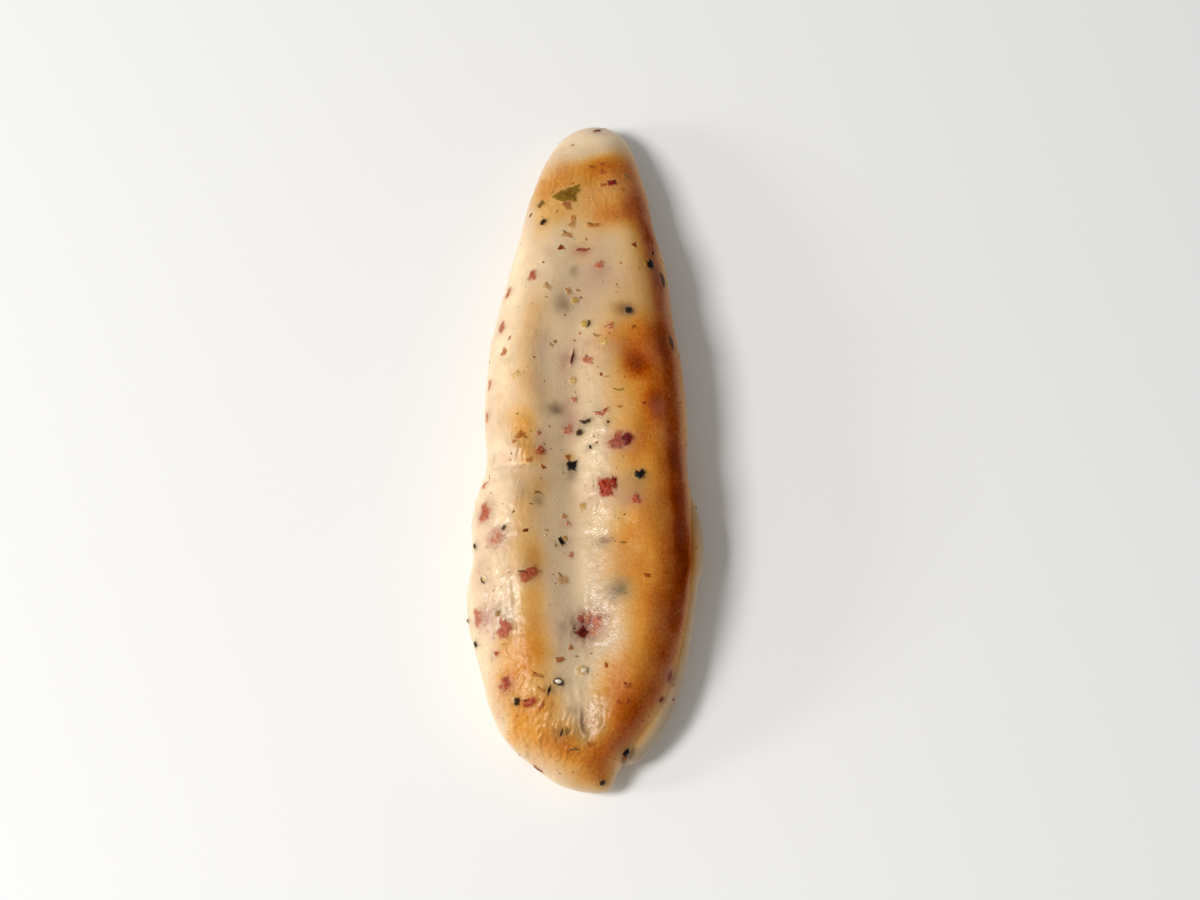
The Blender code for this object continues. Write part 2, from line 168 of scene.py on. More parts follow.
def quarterRound(distance, reach):
    # 0 at the edge and 1 from the reach inwards, along a quarter circle
    return np.sqrt(1 - (1 - np.clip(distance / reach, 0, 1)) ** 2)


def bell(x, y, swell):
    centreX, centreY, halfX, halfY, height = swell
    away = np.hypot((x - centreX) / halfX, (y - centreY) / halfY)
    return height * np.cos(np.clip(away, 0, 1) * math.pi / 2) ** 2


def noiseAt(points, spacing, shift=0):
    # smooth noise from -1 to 1 at each row of points, with its spacing in millimetres along each axis;
    # a shift reads it elsewhere, so that no two uses of it look alike
    scaled = (np.asarray(points, float) + shift) / spacing
    return np.array([noise.noise(p) for p in scaled.reshape(-1, 3)]).reshape(scaled.shape[:-1])


def fullHeight(y):
    return cakeForm["thickness"] * along(y, cakeForm["thicknessAlong"])


def rimHeight(y):
    return cakeForm["rimShare"] * fullHeight(y)


def endsRound(y):
    return quarterRound(tipY - y, cakeForm["tipRound"]) * quarterRound(y - nibY, cakeForm["nibRound"])


def layer(x, y, left, right, leftRound, rightRound, height):
    half = (right - left) / 2
    overLeft = quarterRound(x - left, np.minimum(leftRound, half))
    overRight = quarterRound(right - x, np.minimum(rightRound, half))
    return (height - rimHeight(y)) * overLeft * overRight * endsRound(y)


def topHeight(x, y):
    form = cakeForm
    left, right = edges(y)
    upperRight = np.where(y < form["upperLayerRight"][-1][0], along(y, form["upperLayerRight"]), right)
    upperRight = np.minimum(upperRight, right)
    upper = layer(x, y, left, upperRight, form["leftRound"], form["rightRound"], fullHeight(y))
    shelfHeight = form["shelfShare"] * fullHeight(y)
    shelf = layer(x, y, left, right, form["leftRound"], form["shelfRound"], shelfHeight)
    blend = form["blendAtNib"] + form["blendGrowth"] * (y - nibY)
    overlap = np.clip(1 - np.abs(upper - shelf) / blend, 0, 1)
    fillet = overlap**2 * blend / 4 * np.clip(shelf, 0, 1) * (upperRight < right)
    raised = np.maximum(upper, shelf) + fillet
    crown = np.clip(raised / (fullHeight(y) - rimHeight(y)), 0, 1)
    away = (x - along(y, form["hollowLine"])) / form["hollowHalfWidth"]
    hollow = along(y, form["hollowDepth"]) * np.exp(-(away**2))
    flat = np.stack([x, y, np.full_like(x, 0.5 * form["lumpSpacing"])], -1)
    relief = sum(bell(x, y, swell) for swell in form["swells"])
    relief = relief + form["lumpHeight"] * noiseAt(flat, form["lumpSpacing"])
    return rimHeight(y) + raised + (relief - hollow) * crown


def footRise(x, y):
    # how far the underside has risen, 0 on the flat
    outside = np.zeros(np.shape(x))
    corners = cakeForm["foot"]
    for (startX, startY), (endX, endY) in zip(corners, corners[1:] + corners[:1]):
        goX, goY = endX - startX, endY - startY
        length = math.hypot(goX, goY)
        share = np.clip(((x - startX) * goX + (y - startY) * goY) / length**2, 0, 1)
        away = ((x - startX) * goY - (y - startY) * goX) / length
        outside = np.maximum(outside, away + 4 * cakeForm["footBow"] * share * (1 - share))
    most = cakeForm["footMost"]
    return most * (1 - np.exp(-cakeForm["footSlope"] / most * outside))


def underHeight(x, y):
    left, right = edges(y)
    reach = np.minimum(cakeForm["underRound"], (right - left) / 2)
    down = quarterRound(x - left, reach) * quarterRound(right - x, reach) * endsRound(y)
    return rimHeight(y) * (1 - down) + footRise(x, y) * down + bell(x, y, cakeForm["underHollow"])


# The skin's own fine relief, in millimetres
skin = {
    "stations": 440,
    "overSteps": 188,
    "underSteps": 32,
    "endCrowding": 0.8,
    "waveHeight": 0.09,
    "waveSpacing": (3.2, 4.4, 3.2),
    "underRoom": 0.05,  # under the flat, for what is pressed into it
    "aboveRim": 2.0,  # the relief is whole from this far above the rim
    "aboveFlat": 0.6,  # and from this far above the flat, which nothing sinks or lifts
    "wrinkleHeight": 0.24,
    "wrinkleSpacing": (0.85, 1.8, 1.1),
    "wrinkleLean": -22.0,
    "wrinkleSway": (0.5, 0.2, 0.3),
    "swaySpacing": 3.0,
    "wrinkleSharpness": 2.2,
    "wrinkleLevel": 0.3,  # what of a wrinkle's height lies below the skin
    "wrinkledMost": 1.15,
    "pebbleHeight": 0.06,
    "pebbleSpacing": (0.7, 0.85, 0.7),
    "pebbleEverywhere": 0.35,  # its share where the skin isn't wrinkled
    # where the skin is wrinkled and wet: x, y, half lengths, strength
    "wrinkled": [
        (-14.5, -20.0, 4.2, 9.0, 1.0), (-14.5, -35.0, 4.5, 9.0, 1.0), (-9.5, -46.5, 7.0, 5.0, 0.9),
        (-4.0, -51.5, 6.0, 4.0, 0.6), (-11.5, -4.0, 4.5, 4.0, 0.8), (1.8, -3.0, 2.0, 10.0, 0.8),
        (2.0, -16.0, 2.0, 7.0, 0.8), (0.6, -32.5, 3.6, 4.4, 1.0), (-5.0, 44.0, 4.5, 4.5, 0.7),
        (4.0, 40.5, 3.5, 4.0, 0.4), (0.6, 12.0, 2.6, 4.5, 0.6), (-14.0, 8.0, 3.0, 10.0, 0.5),
        (7.5, -17.0, 4.0, 4.0, 0.35), (1.0, -46.0, 3.0, 4.0, 0.5), (-9.0, 16.0, 3.0, 8.0, 0.25),
    ],
    # low swells besides the solid's own: x, y, half lengths, height
    "swells": [(-6.2, 13.0, 4.4, 12.0, 0.7), (5.6, 12.0, 3.0, 7.0, -0.15)],
    # folds, slits and clefts: places along each, its half width and its depth
    "creases": [
        ([(-16.4, -6.3), (-14.0, -6.9), (-10.2, -7.2), (-9.0, -6.6)], 0.2, 0.16),
        ([(-14.8, -4.6), (-13.0, -3.4), (-11.4, -2.6)], 0.25, 0.16),
        ([(-14.3, 14.5), (-14.6, 8.0), (-14.2, 1.0), (-13.6, -2.0)], 0.45, 0.09),
        ([(-2.0, 13.9), (-2.1, 12.3), (-2.5, 10.8)], 0.22, 0.3),
        ([(-0.6, -45.6), (-0.8, -47.5), (-0.5, -49.2), (0.2, -50.2)], 0.24, 0.34),
        ([(-2.6, -31.6), (-2.1, -33.3), (-2.3, -35.0)], 0.2, 0.26),
        ([(5.6, -53.6), (6.3, -52.4), (6.6, -51.0)], 0.45, 0.5),
        ([(-1.3, -41.6), (-0.9, -44.0), (-0.6, -45.2)], 0.2, 0.14),
        ([(0.8, 43.5), (1.0, 41.0), (1.8, 39.3)], 0.2, 0.09),
        ([(3.3, 41.4), (3.1, 39.6), (3.6, 38.6)], 0.2, 0.09),
    ],
    # edges of skin that stands off: places, how far it reaches back to the left of the line, and its height
    "ledges": [
        ([(-9.2, -7.0), (-11.6, -6.8), (-15.2, -6.2)], 2.2, -0.72),
        ([(-12.4, -46.0), (-12.9, -47.4), (-12.6, -48.6)], 0.8, 0.22),
        ([(-9.6, -50.2), (-8.6, -51.6), (-9.0, -52.6)], 0.8, 0.22),
        ([(-7.2, -50.4), (-6.4, -51.4), (-7.0, -52.6)], 0.8, 0.24),
        ([(-12.6, -21.0), (-12.0, -24.0), (-11.2, -27.0), (-11.6, -30.5)], 0.9, 0.16),
        ([(-15.4, -32.0), (-14.2, -34.0), (-14.8, -36.4)], 0.8, 0.18),
        ([(-9.6, -9.4), (-10.6, -12.0), (-10.2, -14.6)], 0.9, 0.1),
        ([(4.2, 1.6), (4.9, 0.4), (6.0, -0.4)], 0.7, 0.18),
        ([(3.0, -29.4), (3.4, -31.6), (2.6, -33.8)], 0.8, 0.16),
    ],
    "ledgeStep": 0.18,
    # how creases and ledges thin out at their ends: share of the line left out, and how sharply
    "creaseTaper": (0.04, 0.5),
    "ledgeTaper": (0.02, 0.7),
}


def distanceToPath(x, y, path):
    # distance to a line through the places, and how far along it the nearest point is, from 0 to 1
    best = np.full(x.shape, 1e9)
    share = np.zeros(x.shape)
    spans = len(path) - 1
    for i, ((ax, ay), (bx, by)) in enumerate(zip(path, path[1:])):
        dx, dy = bx - ax, by - ay
        t = np.clip(((x - ax) * dx + (y - ay) * dy) / (dx * dx + dy * dy), 0, 1)
        away = np.hypot(x - ax - t * dx, y - ay - t * dy)
        share = np.where(away < best, (i + t) / spans, share)
        best = np.minimum(best, away)
    return best, share


def patches(x, y, spots):
    # soft round spots added up, each x, y, half lengths and strength
    total = 0
    for centreX, centreY, halfX, halfY, strength in spots:
        total = total + strength * np.exp(-(((x - centreX) / halfX) ** 2) - ((y - centreY) / halfY) ** 2)
    return total


def taperAlong(share, taper):
    # 1 in the middle of a line, thinning out towards its ends
    margin, sharpness = taper
    return np.sin(np.clip(share, margin, 1 - margin) * math.pi) ** sharpness


def creaseDepth(x, y):
    depth = np.zeros(x.shape)
    for path, half, deep in skin["creases"]:
        away, share = distanceToPath(x, y, path)
        taper = taperAlong(share, skin["creaseTaper"])
        depth = np.maximum(depth, deep * taper * np.exp(-((away / half) ** 2)))
    return depth


def ledgeHeight(x, y):
    # skin that ends in a step along its line and fades back from it; a negative height is on the right
    height = np.zeros(x.shape)
    for path, reach, high in skin["ledges"]:
        away, share = distanceToPath(x, y, path)
        (ax, ay), (bx, by) = path[0], path[-1]
        side = ((bx - ax) * (y - ay) - (by - ay) * (x - ax)) / math.hypot(bx - ax, by - ay)
        side = side if high > 0 else -side
        behind = np.clip(side / skin["ledgeStep"], 0, 1)
        taper = taperAlong(share, skin["ledgeTaper"])
        height = np.maximum(height, abs(high) * taper * behind * np.exp(-((away / reach) ** 2)))
    return height


def skinPoints():
    # rings of points round the cake, the form's own, and the two end points
    t = np.arange(1, skin["stations"]) / skin["stations"]
    crowd = skin["endCrowding"]
    ys = nibY + cakeForm["length"] * ((1 - crowd) * t + crowd * (1 - np.cos(math.pi * t)) / 2)
    left, right = edges(ys)
    middle, half = ((left + right) / 2)[:, None], ((right - left) / 2)[:, None]
    over = middle - half * np.cos(math.pi * np.arange(0, skin["overSteps"] + 1) / skin["overSteps"])
    under = middle + half * np.cos(math.pi * np.arange(1, skin["underSteps"]) / skin["underSteps"])
    overY, underY = [np.broadcast_to(ys[:, None], part.shape) for part in (over, under)]
    top = np.stack([over, overY, topHeight(over, overY)], -1)
    low = np.stack([under, underY, underHeight(under, underY)], -1)
    ends = []
    for endY in (nibY, tipY):
        left, right = edges(endY)
        ends.append(((left + right) / 2, endY, float(rimHeight(endY))))
    return np.concatenate([top, low], 1), np.array(ends)


def skinNormals(rings):
    # outward normals of the rings, from their neighbours
    around = np.roll(rings, -1, 1) - np.roll(rings, 1, 1)
    ahead = np.gradient(rings, axis=0)
    normal = np.cross(ahead, around)
    return normal / np.maximum(np.linalg.norm(normal, axis=-1, keepdims=True), 1e-12)


def wornSkin():
    # the form's points with waves, wrinkles, pebbling, creases and ledges pushed along the normals
    rings, ends = skinPoints()
    x, y, z = np.moveaxis(rings, -1, 0)
    onTop = np.clip((z - rimHeight(y)) / skin["aboveRim"], 0, 1)
    clear = np.clip(z / skin["aboveFlat"], 0, 1)
    wave = skin["waveHeight"] * noiseAt(rings, skin["waveSpacing"])
    lean = math.radians(skin["wrinkleLean"])
    across = x * math.cos(lean) + y * math.sin(lean)
    down = y * math.cos(lean) - x * math.sin(lean)
    sway = noiseAt(rings, skin["swaySpacing"], 40)[..., None] * skin["wrinkleSway"]
    leaning = np.stack([across, down, z], -1) + sway
    ridges = 1 - skin["wrinkleSharpness"] * np.abs(noiseAt(leaning, skin["wrinkleSpacing"]))
    wrinkles = skin["wrinkleHeight"] * (ridges - skin["wrinkleLevel"])
    zone = np.clip(patches(x, y, skin["wrinkled"]), 0, skin["wrinkledMost"])
    pebbles = skin["pebbleHeight"] * noiseAt(rings, skin["pebbleSpacing"], 90)
    push = wave + pebbles * (skin["pebbleEverywhere"] + zone) + wrinkles * zone * onTop
    push = push + (ledgeHeight(x, y) - creaseDepth(x, y)) * onTop
    push = push + sum(bell(x, y, swell) for swell in skin["swells"]) * onTop
    worn = rings + skinNormals(rings) * (push * clear)[..., None]
    worn[..., 2] = np.maximum(worn[..., 2], skin["underRoom"])
    return worn, ends


# Browning of the skin, from 0 for raw paste to 1 for burnt: x, y, half lengths, strength
browning = {
    "patches": [
        # the film of colour all over the top, and its pale places
        (-3.0, 20.0, 12.0, 40.0, 0.08), (3.0, -18.0, 13.0, 30.0, 0.08), (9.5, -8.0, 6.0, 44.0, 0.24),
        (4.4, -34.5, 3.0, 3.6, -0.08), (1.2, -2.5, 2.2, 9.0, -0.12), (-14.5, -17.0, 3.0, 14.0, -0.1),
        (-12.5, 26.0, 3.0, 16.0, -0.08), (0.0, 56.5, 5.0, 3.4, -0.2), (-1.0, -31.0, 4.0, 9.0, -0.08),
        (6.6, -12.6, 3.0, 2.2, -0.06), (2.4, -20.0, 1.8, 5.0, -0.08),
        # tip, and down the right edge from it
        (-5.0, 45.4, 3.2, 3.6, 0.36), (-7.6, 42.6, 2.0, 3.4, 0.24), (6.4, 44.0, 3.4, 5.4, 0.2),
        (9.0, 39.4, 2.2, 5.4, 0.24), (4.4, 38.0, 3.6, 2.4, 0.26), (3.4, 47.4, 3.2, 2.6, 0.22),
        (-7.4, 36.4, 2.4, 4.0, 0.14), (0.2, 40.4, 5.0, 5.8, 0.24), (1.2, 44.5, 2.6, 3.0, 0.16),
        (-5.0, 38.6, 2.4, 2.4, 0.14), (10.4, 33.0, 1.6, 4.4, 0.28), (11.8, 25.0, 1.4, 4.6, 0.26),
        (-0.5, 31.0, 2.0, 2.6, 0.1), (1.4, 46.8, 3.0, 2.0, 0.1), (5.6, 49.0, 2.6, 2.8, 0.16),
        (-3.6, 46.8, 2.2, 1.8, 0.1), (7.4, 49.0, 1.6, 3.6, 0.14), (10.6, 24.0, 1.6, 4.0, -0.08),
        (10.2, 9.8, 1.8, 1.8, 0.08),
        # left ridge
        (-9.6, 15.0, 3.0, 9.0, 0.05), (-12.8, -5.0, 2.4, 1.5, -0.3), (-13.0, -8.8, 3.0, 1.3, 0.14),
        (-8.0, 19.0, 2.8, 6.0, 0.14), (-9.2, 9.0, 3.0, 8.0, 0.16), (-11.6, 0.6, 3.2, 3.0, 0.22),
        (-7.2, 13.6, 2.4, 6.0, -0.12), (-9.6, 0.0, 1.8, 3.0, 0.12), (-12.6, -0.2, 1.8, 2.4, -0.08),
        (-9.8, -4.8, 1.8, 1.8, 0.14), (-12.4, -10.0, 2.0, 2.4, -0.1), (-7.4, -9.8, 2.0, 2.0, 0.12),
        (-12.4, -24.0, 2.2, 5.0, 0.1), (-10.0, -4.0, 2.6, 3.0, 0.16), (-10.0, -13.5, 3.2, 4.6, 0.22),
        (-9.6, -20.0, 3.0, 4.0, 0.18), (-8.0, -22.5, 1.8, 2.8, 0.2), (-8.2, -30.0, 2.8, 5.4, 0.32),
        (-8.0, -37.0, 3.2, 4.0, 0.34), (-12.4, -36.0, 2.6, 2.6, 0.28), (-9.5, -41.5, 3.6, 3.0, 0.16),
        # the broad end
        (-12.4, -41.5, 2.6, 3.2, 0.26), (-11.0, -46.5, 3.2, 3.0, 0.32), (-7.0, -46.0, 3.6, 2.8, 0.3),
        (-6.6, -50.2, 4.4, 2.6, 0.38), (-2.0, -52.8, 4.4, 2.6, 0.38), (2.4, -53.6, 2.4, 2.6, 0.3),
        (5.2, -49.0, 3.4, 3.0, 0.34), (6.8, -44.5, 4.0, 3.4, 0.3), (-12.8, -47.6, 1.6, 2.0, -0.18),
        (4.0, -40.5, 3.0, 4.0, 0.16), (3.0, -51.0, 2.2, 1.8, 0.12), (0.6, -56.0, 3.4, 1.7, 0.24),
        # right ridge
        (6.1, 20.4, 1.3, 1.0, 0.2),
        (4.2, 9.6, 2.8, 3.4, 0.03), (6.4, 14.6, 2.4, 3.0, 0.08), (3.6, 20.0, 3.0, 3.0, 0.07),
        (9.4, -38.0, 3.4, 4.2, 0.14), (11.4, -29.5, 3.4, 5.0, 0.14), (9.4, -17.5, 4.6, 5.0, 0.12),
        (6.8, 11.2, 2.4, 3.0, 0.25), (8.8, 10.2, 2.2, 2.6, 0.33), (10.2, 14.8, 2.6, 3.4, 0.19),
        (12.8, 14.0, 1.6, 5.0, 0.16), (10.6, 5.6, 2.0, 2.6, 0.14), (8.0, -4.6, 3.4, 2.6, 0.12),
        (7.0, -24.0, 3.0, 4.0, 0.08), (7.6, -32.0, 3.0, 4.0, 0.1), (5.0, -39.0, 2.6, 3.0, 0.1),
        (2.6, -43.0, 2.6, 3.4, 0.1),
        # the hollow's broad end
        (-5.0, -44.0, 2.6, 3.0, 0.12), (-2.4, -49.6, 2.2, 2.2, 0.18), (-7.0, -39.0, 3.0, 3.6, 0.08),
        # right ridge, closer
        (4.2, 15.6, 2.2, 2.4, 0.1), (11.2, 3.4, 1.8, 3.0, 0.22),
        (6.4, 4.6, 3.6, 3.6, 0.1), (8.0, 16.6, 2.6, 3.0, 0.14), (3.6, 15.6, 2.4, 2.4, 0.08),
        (8.4, -1.0, 2.6, 2.4, 0.1), (3.6, -24.0, 2.6, 3.6, 0.1), (4.8, -19.4, 2.6, 2.8, 0.08),
        # single touches all over
        (-2.6, -4.8, 0.9, 0.8, 0.22), (-12.0, -41.0, 2.2, 2.4, 0.08), (-0.4, 46.6, 2.8, 2.0, 0.12),
        (-5.0, 46.6, 1.6, 2.0, -0.1), (2.3, -14.5, 2.0, 4.0, -0.08), (2.3, -5.0, 2.0, 4.0, -0.07),
        (-0.1, -10.0, 1.6, 2.4, -0.05), (2.2, 48.6, 2.6, 1.6, 0.12), (7.2, 41.0, 1.8, 3.6, 0.1),
        (-12.0, -49.6, 2.0, 2.0, 0.14), (12.2, -15.0, 1.8, 3.0, -0.08), (-7.4, -5.4, 1.6, 1.8, 0.16),
    ],
    # the grill's dark band along the right shoulder: places on its line, strength, reach inwards and outwards
    "bandLine": [
        (-57.5, 2.6), (-53.0, 4.4), (-49.0, 7.4), (-45.0, 9.8), (-41.0, 11.9), (-37.0, 13.4), (-32.0, 14.6),
        (-27.0, 15.4), (-20.0, 15.9), (-13.0, 15.2), (-6.0, 14.7), (0.0, 14.5), (15.0, 13.5), (28.0, 11.7),
        (40.0, 9.8), (57.5, 5.0),
    ],
    "bandStrength": [
        (-57.5, 0.05), (-53.0, 0.14), (-45.0, 0.32), (-38.0, 0.46), (-30.0, 0.56), (-22.0, 0.68),
        (-14.0, 0.58), (-4.0, 0.52), (10.0, 0.46), (18.0, 0.38), (25.0, 0.3), (34.0, 0.26), (40.0, 0.2),
        (48.0, 0.06), (57.5, 0.0),
    ],
    "bandIn": 2.9,
    "bandGlow": 6.5,
    "bandGlowShare": 0.4,
    # how far it runs out past its line: y, millimetres
    "bandOut": [
        (-57.5, 1.0), (-45.0, 1.7), (-36.0, 1.5), (-28.0, 1.2), (-16.0, 1.8), (0.0, 1.8), (12.0, 2.2),
        (24.0, 1.8), (57.5, 1.2),
    ],
    "paleFlank": 0.03,
    # the right flank is browner below the band, and painted darker there as shade on the side away from the
    # light: y, strength
    "rightFlank": [
        (-57.5, 0.06), (-40.0, 0.08), (-28.0, 0.14), (-16.0, 0.3), (-4.0, 0.34), (6.0, 0.16), (14.0, 0.22),
        (26.0, 0.2), (57.5, 0.03),
    ],
    # that browning and painted shade set in this far inside the line, and lose this share under the top's own
    "flankFrom": (2.0, 0.6),
    # and painted shade, greyer and darker, further down: strength, where past the line it starts and how soon
    # it is full
    "steamed": (0.82, 1.4, 2.2),
    # the painted shade ends at this y, fades over this length and keeps this share of the rim's height clear
    "flankShadeTo": (-4.0, 8.0, 0.2),
    # where the top's browning starts and how far up it is full, in shares of the rim's height
    "topFrom": (0.75, 0.9),
    "uneven": [(0.12, 3.4), (0.05, 1.3)],  # strength and spacing of its unevenness
    "most": (1.05, 0.96),  # on the top before it is masked, and all over
    "underBrown": 0.38,
    "underFade": (1.25, 1.6),
    # the underside's patches: strength, spacing, least and most
    "underPatches": (0.9, 6.0, 0.2, 1.6),
}


def brownness(points):
    x, y, z = np.moveaxis(points, -1, 0)
    top = patches(x, y, browning["patches"])
    side = x - along(y, browning["bandLine"])
    outwards = along(y, browning["bandOut"])
    reach = np.where(side < 0, browning["bandIn"], outwards)
    glow = np.where(side < 0, browning["bandGlow"], outwards)
    share = browning["bandGlowShare"]
    band = (1 - share) * np.exp(-((side / reach) ** 2)) + share * np.exp(-((side / glow) ** 2))
    top = top + along(y, browning["bandStrength"]) * band
    (wide, wideSpacing), (close, closeSpacing) = browning["uneven"]
    uneven = 1 + wide * noiseAt(points, wideSpacing) + close * noiseAt(points, closeSpacing, 20)
    mostOnTop, most = browning["most"]
    top = np.clip(top * uneven, 0, mostOnTop)
    start, over = browning["topFrom"]
    above = np.clip((z - start * rimHeight(y)) / (over * rimHeight(y)), 0, 1)
    above = above * above * (3 - 2 * above)
    full, fade = browning["underFade"]
    below = np.clip(full - z / fade, 0, 1) * browning["underBrown"]
    change, spacing, lowest, highest = browning["underPatches"]
    below = below * np.clip(1 + change * noiseAt(points, spacing, 60), lowest, highest)
    inside, lost = browning["flankFrom"]
    # browning, and painted shade, on the right flank
    flank = along(y, browning["rightFlank"]) * np.clip(side + inside, 0, 1) * (1 - lost * above)
    return np.clip(browning["paleFlank"] + top * above + flank + below, 0, most)


# painted shade: grey over the right flank past the band, the side away from the light
def paintedFlankShade(points):
    x, y, z = np.moveaxis(points, -1, 0)
    most, start, reach = browning["steamed"]
    end, fade, low = browning["flankShadeTo"]
    past = np.clip((x - along(y, browning["bandLine"]) - start) / reach, 0, 1)
    return most * past * np.clip((end - y) / fade, 0, 1) * np.clip(z / rimHeight(y) - low, 0, 1)


# What lies under the skin and tints it, and the painted shade in its creases: x, y, half lengths, strength
stains = {
    # pepper and meat deep in the paste: grey and olive blurs
    "haze": [
        (5.4, -27.3, 2.0, 2.0, 0.62), (-4.9, 3.4, 1.6, 1.2, 0.6), (-3.8, 21.6, 1.4, 1.6, 0.6),
        (-4.4, 3.1, 0.8, 0.7, 0.35), (5.7, -27.6, 0.9, 0.9, 0.14), (-2.2, -7.6, 1.4, 1.6, 0.3),
        (6.1, 20.4, 2.0, 1.5, 0.62), (3.1, -19.2, 1.4, 0.9, 0.6), (-7.5, -12.7, 0.9, 0.9, 0.6),
        (-1.8, 27.8, 0.8, 1.1, 0.5), (-1.6, -46.2, 0.9, 0.9, 0.35), (-14.8, -4.6, 0.9, 1.4, 0.35),
        (-3.0, -33.0, 1.1, 2.0, 0.35), (-12.8, 12.0, 1.2, 1.0, 0.2), (-13.9, -30.5, 0.9, 1.2, 0.4),
        (-7.6, 40.9, 1.0, 0.8, 0.5), (-3.6, -50.0, 1.3, 1.3, 0.3), (-9.5, -11.5, 1.8, 1.2, 0.16),
        (2.6, -48.4, 1.0, 1.6, 0.25), (7.0, -52.0, 1.6, 1.0, 0.3), (-3.2, 8.0, 2.2, 9.0, 0.14),
        (-2.6, -8.0, 1.8, 8.0, 0.12), (2.4, 25.0, 6.0, 8.0, 0.22), (8.2, -10.6, 2.8, 2.6, 0.38),
        (0.6, -32.0, 3.4, 9.0, 0.24), (4.4, -27.0, 2.4, 4.0, 0.16), (-2.6, -36.0, 2.4, 6.0, 0.12),
        (3.0, 33.0, 4.0, 3.0, 0.1), (-3.2, -9.4, 1.4, 5.0, 0.12), (1.8, -3.0, 3.0, 8.0, 0.18),
        (3.8, -34.0, 3.6, 6.0, 0.12), (1.6, -46.0, 3.0, 3.0, 0.14), (-15.0, -22.0, 3.0, 14.0, 0.09),
        (0.2, -49.8, 1.8, 1.8, 0.5), (4.0, -36.5, 3.0, 3.0, 0.14), (0.0, -17.0, 3.0, 8.0, 0.08),
        (4.4, 11.2, 2.0, 3.6, 0.32), (-7.4, 12.0, 3.0, 7.0, -0.2), (10.8, 23.0, 1.8, 5.0, 0.22),
        (1.4, -20.0, 2.6, 13.0, 0.13), (2.0, 6.0, 2.6, 8.0, 0.12), (1.8, 25.0, 3.2, 5.0, 0.14),
        (2.3, -14.0, 2.0, 4.5, -0.15), (2.3, -4.8, 2.0, 4.0, -0.1), (-12.4, -30.8, 1.6, 2.4, 0.22),
        (2.6, -45.6, 1.6, 2.0, 0.2),
    ],
    # colour that has bled from the meat: mauve and pink
    "blush": [
        (5.6, -2.8, 2.0, 1.8, 0.55), (3.9, 13.6, 1.8, 1.8, 0.4), (0.4, 14.6, 1.6, 1.4, 0.4),
        (0.4, -33.0, 2.6, 2.8, 0.45), (-14.2, -18.6, 1.8, 2.0, 0.6), (-15.6, -31.4, 2.2, 2.4, 0.45),
        (1.6, 27.2, 2.4, 2.6, 0.3), (-0.4, 31.4, 2.2, 1.0, 0.3), (-2.4, 1.4, 1.6, 2.6, 0.45),
        (1.0, -47.6, 1.4, 2.0, 0.3), (-12.4, -42.6, 1.6, 2.0, 0.32), (8.4, -12.4, 2.2, 1.6, 0.24),
        (5.6, -12.6, 2.0, 1.4, 0.18), (-15.9, -14.0, 1.8, 1.8, 0.3), (-17.0, -15.5, 1.8, 2.4, 0.16),
        (-6.8, -3.0, 1.8, 2.2, 0.22), (-4.4, 47.0, 2.4, 2.0, 0.25), (-3.4, 11.6, 1.2, 2.6, 0.3),
        (-2.6, -19.0, 1.2, 3.4, 0.14), (13.4, -40.0, 1.2, 1.8, 0.5), (3.3, -19.2, 1.2, 0.8, 0.35),
        (12.6, 27.0, 1.4, 1.8, 0.45), (-13.4, 22.0, 1.6, 2.4, 0.16), (-15.2, 6.0, 1.6, 4.4, 0.2),
        (11.8, 3.2, 1.2, 1.8, 0.25), (-3.0, 8.0, 1.8, 8.0, 0.16), (-16.0, -27.0, 2.6, 9.0, 0.26),
        (-12.8, -4.8, 2.4, 1.5, 0.26), (0.8, 25.0, 3.0, 4.0, 0.16),
    ],
    # how each also spreads round every bit of a kind: share of the bit's size, margin and strength
    "hazeRound": ("pepper", 0.55, 0.35, 0.42),
    "blushRound": ("salami", 0.5, 0.45, 0.34),
    "veiledLess": 0.3,  # the share of its strength that a full veil takes off
    # and comes and goes in clouds: strength, spacing, place in the noise, and the most that all may reach
    "hazeCloud": (0.13, 4.6, 31, 1.0),
    "blushCloud": (0.3, 5.8, 77, 0.9),
    "depth": (1.3, 0.6),  # of a spot, as a share of its size and in millimetres besides
    "drift": 0.45,
    "driftSpacing": 1.4,
    "aboveRim": (0.6, 2.0),  # they start at this share of the rim's height, and are whole so far above
    # painted shade in the creases: the crease depth where it starts, and the depth besides to full dark
    "creaseShadeFrom": (0.12, 0.3),  # depth of a crease where it darkens, and the depth besides to full dark
}


def bitStains(kind, spread, margin, strength):
    # a soft stain round each bit of the kind, weaker where the paste veils the bit
    spots = []
    for x, y, length, width, _, _, _, veil in bits[kind]["places"]:
        left = strength * (1 - stains["veiledLess"] * veil)
        spots.append((x, y, spread * length + margin, spread * width + margin, left))
    return spots


def stainsOn(points, spots):
    # soft spots added up, each fading with height too, so that none runs down the flank
    x, y, z = np.moveaxis(points, -1, 0)
    share, margin = stains["depth"]
    tops = topHeight(*np.array(spots, float).T[:2])
    total = np.zeros(x.shape)
    for (centreX, centreY, halfX, halfY, strength), high in zip(spots, tops):
        deep = share * min(halfX, halfY) + margin
        away = ((x - centreX) / halfX) ** 2 + ((y - centreY) / halfY) ** 2 + ((z - high) / deep) ** 2
        total += strength * np.exp(-away)
    return total


def stainAmount(name, points, drifted):
    # a stain's own spots, what has spread from the bits, and its clouds
    spots = stains[name] + bitStains(*stains[name + "Round"])
    strength, spacing, shift, most = stains[name + "Cloud"]
    clouds = np.clip(noiseAt(points, spacing, shift), 0, 1)
    return np.clip(stainsOn(drifted, spots) + strength * clouds, 0, most)


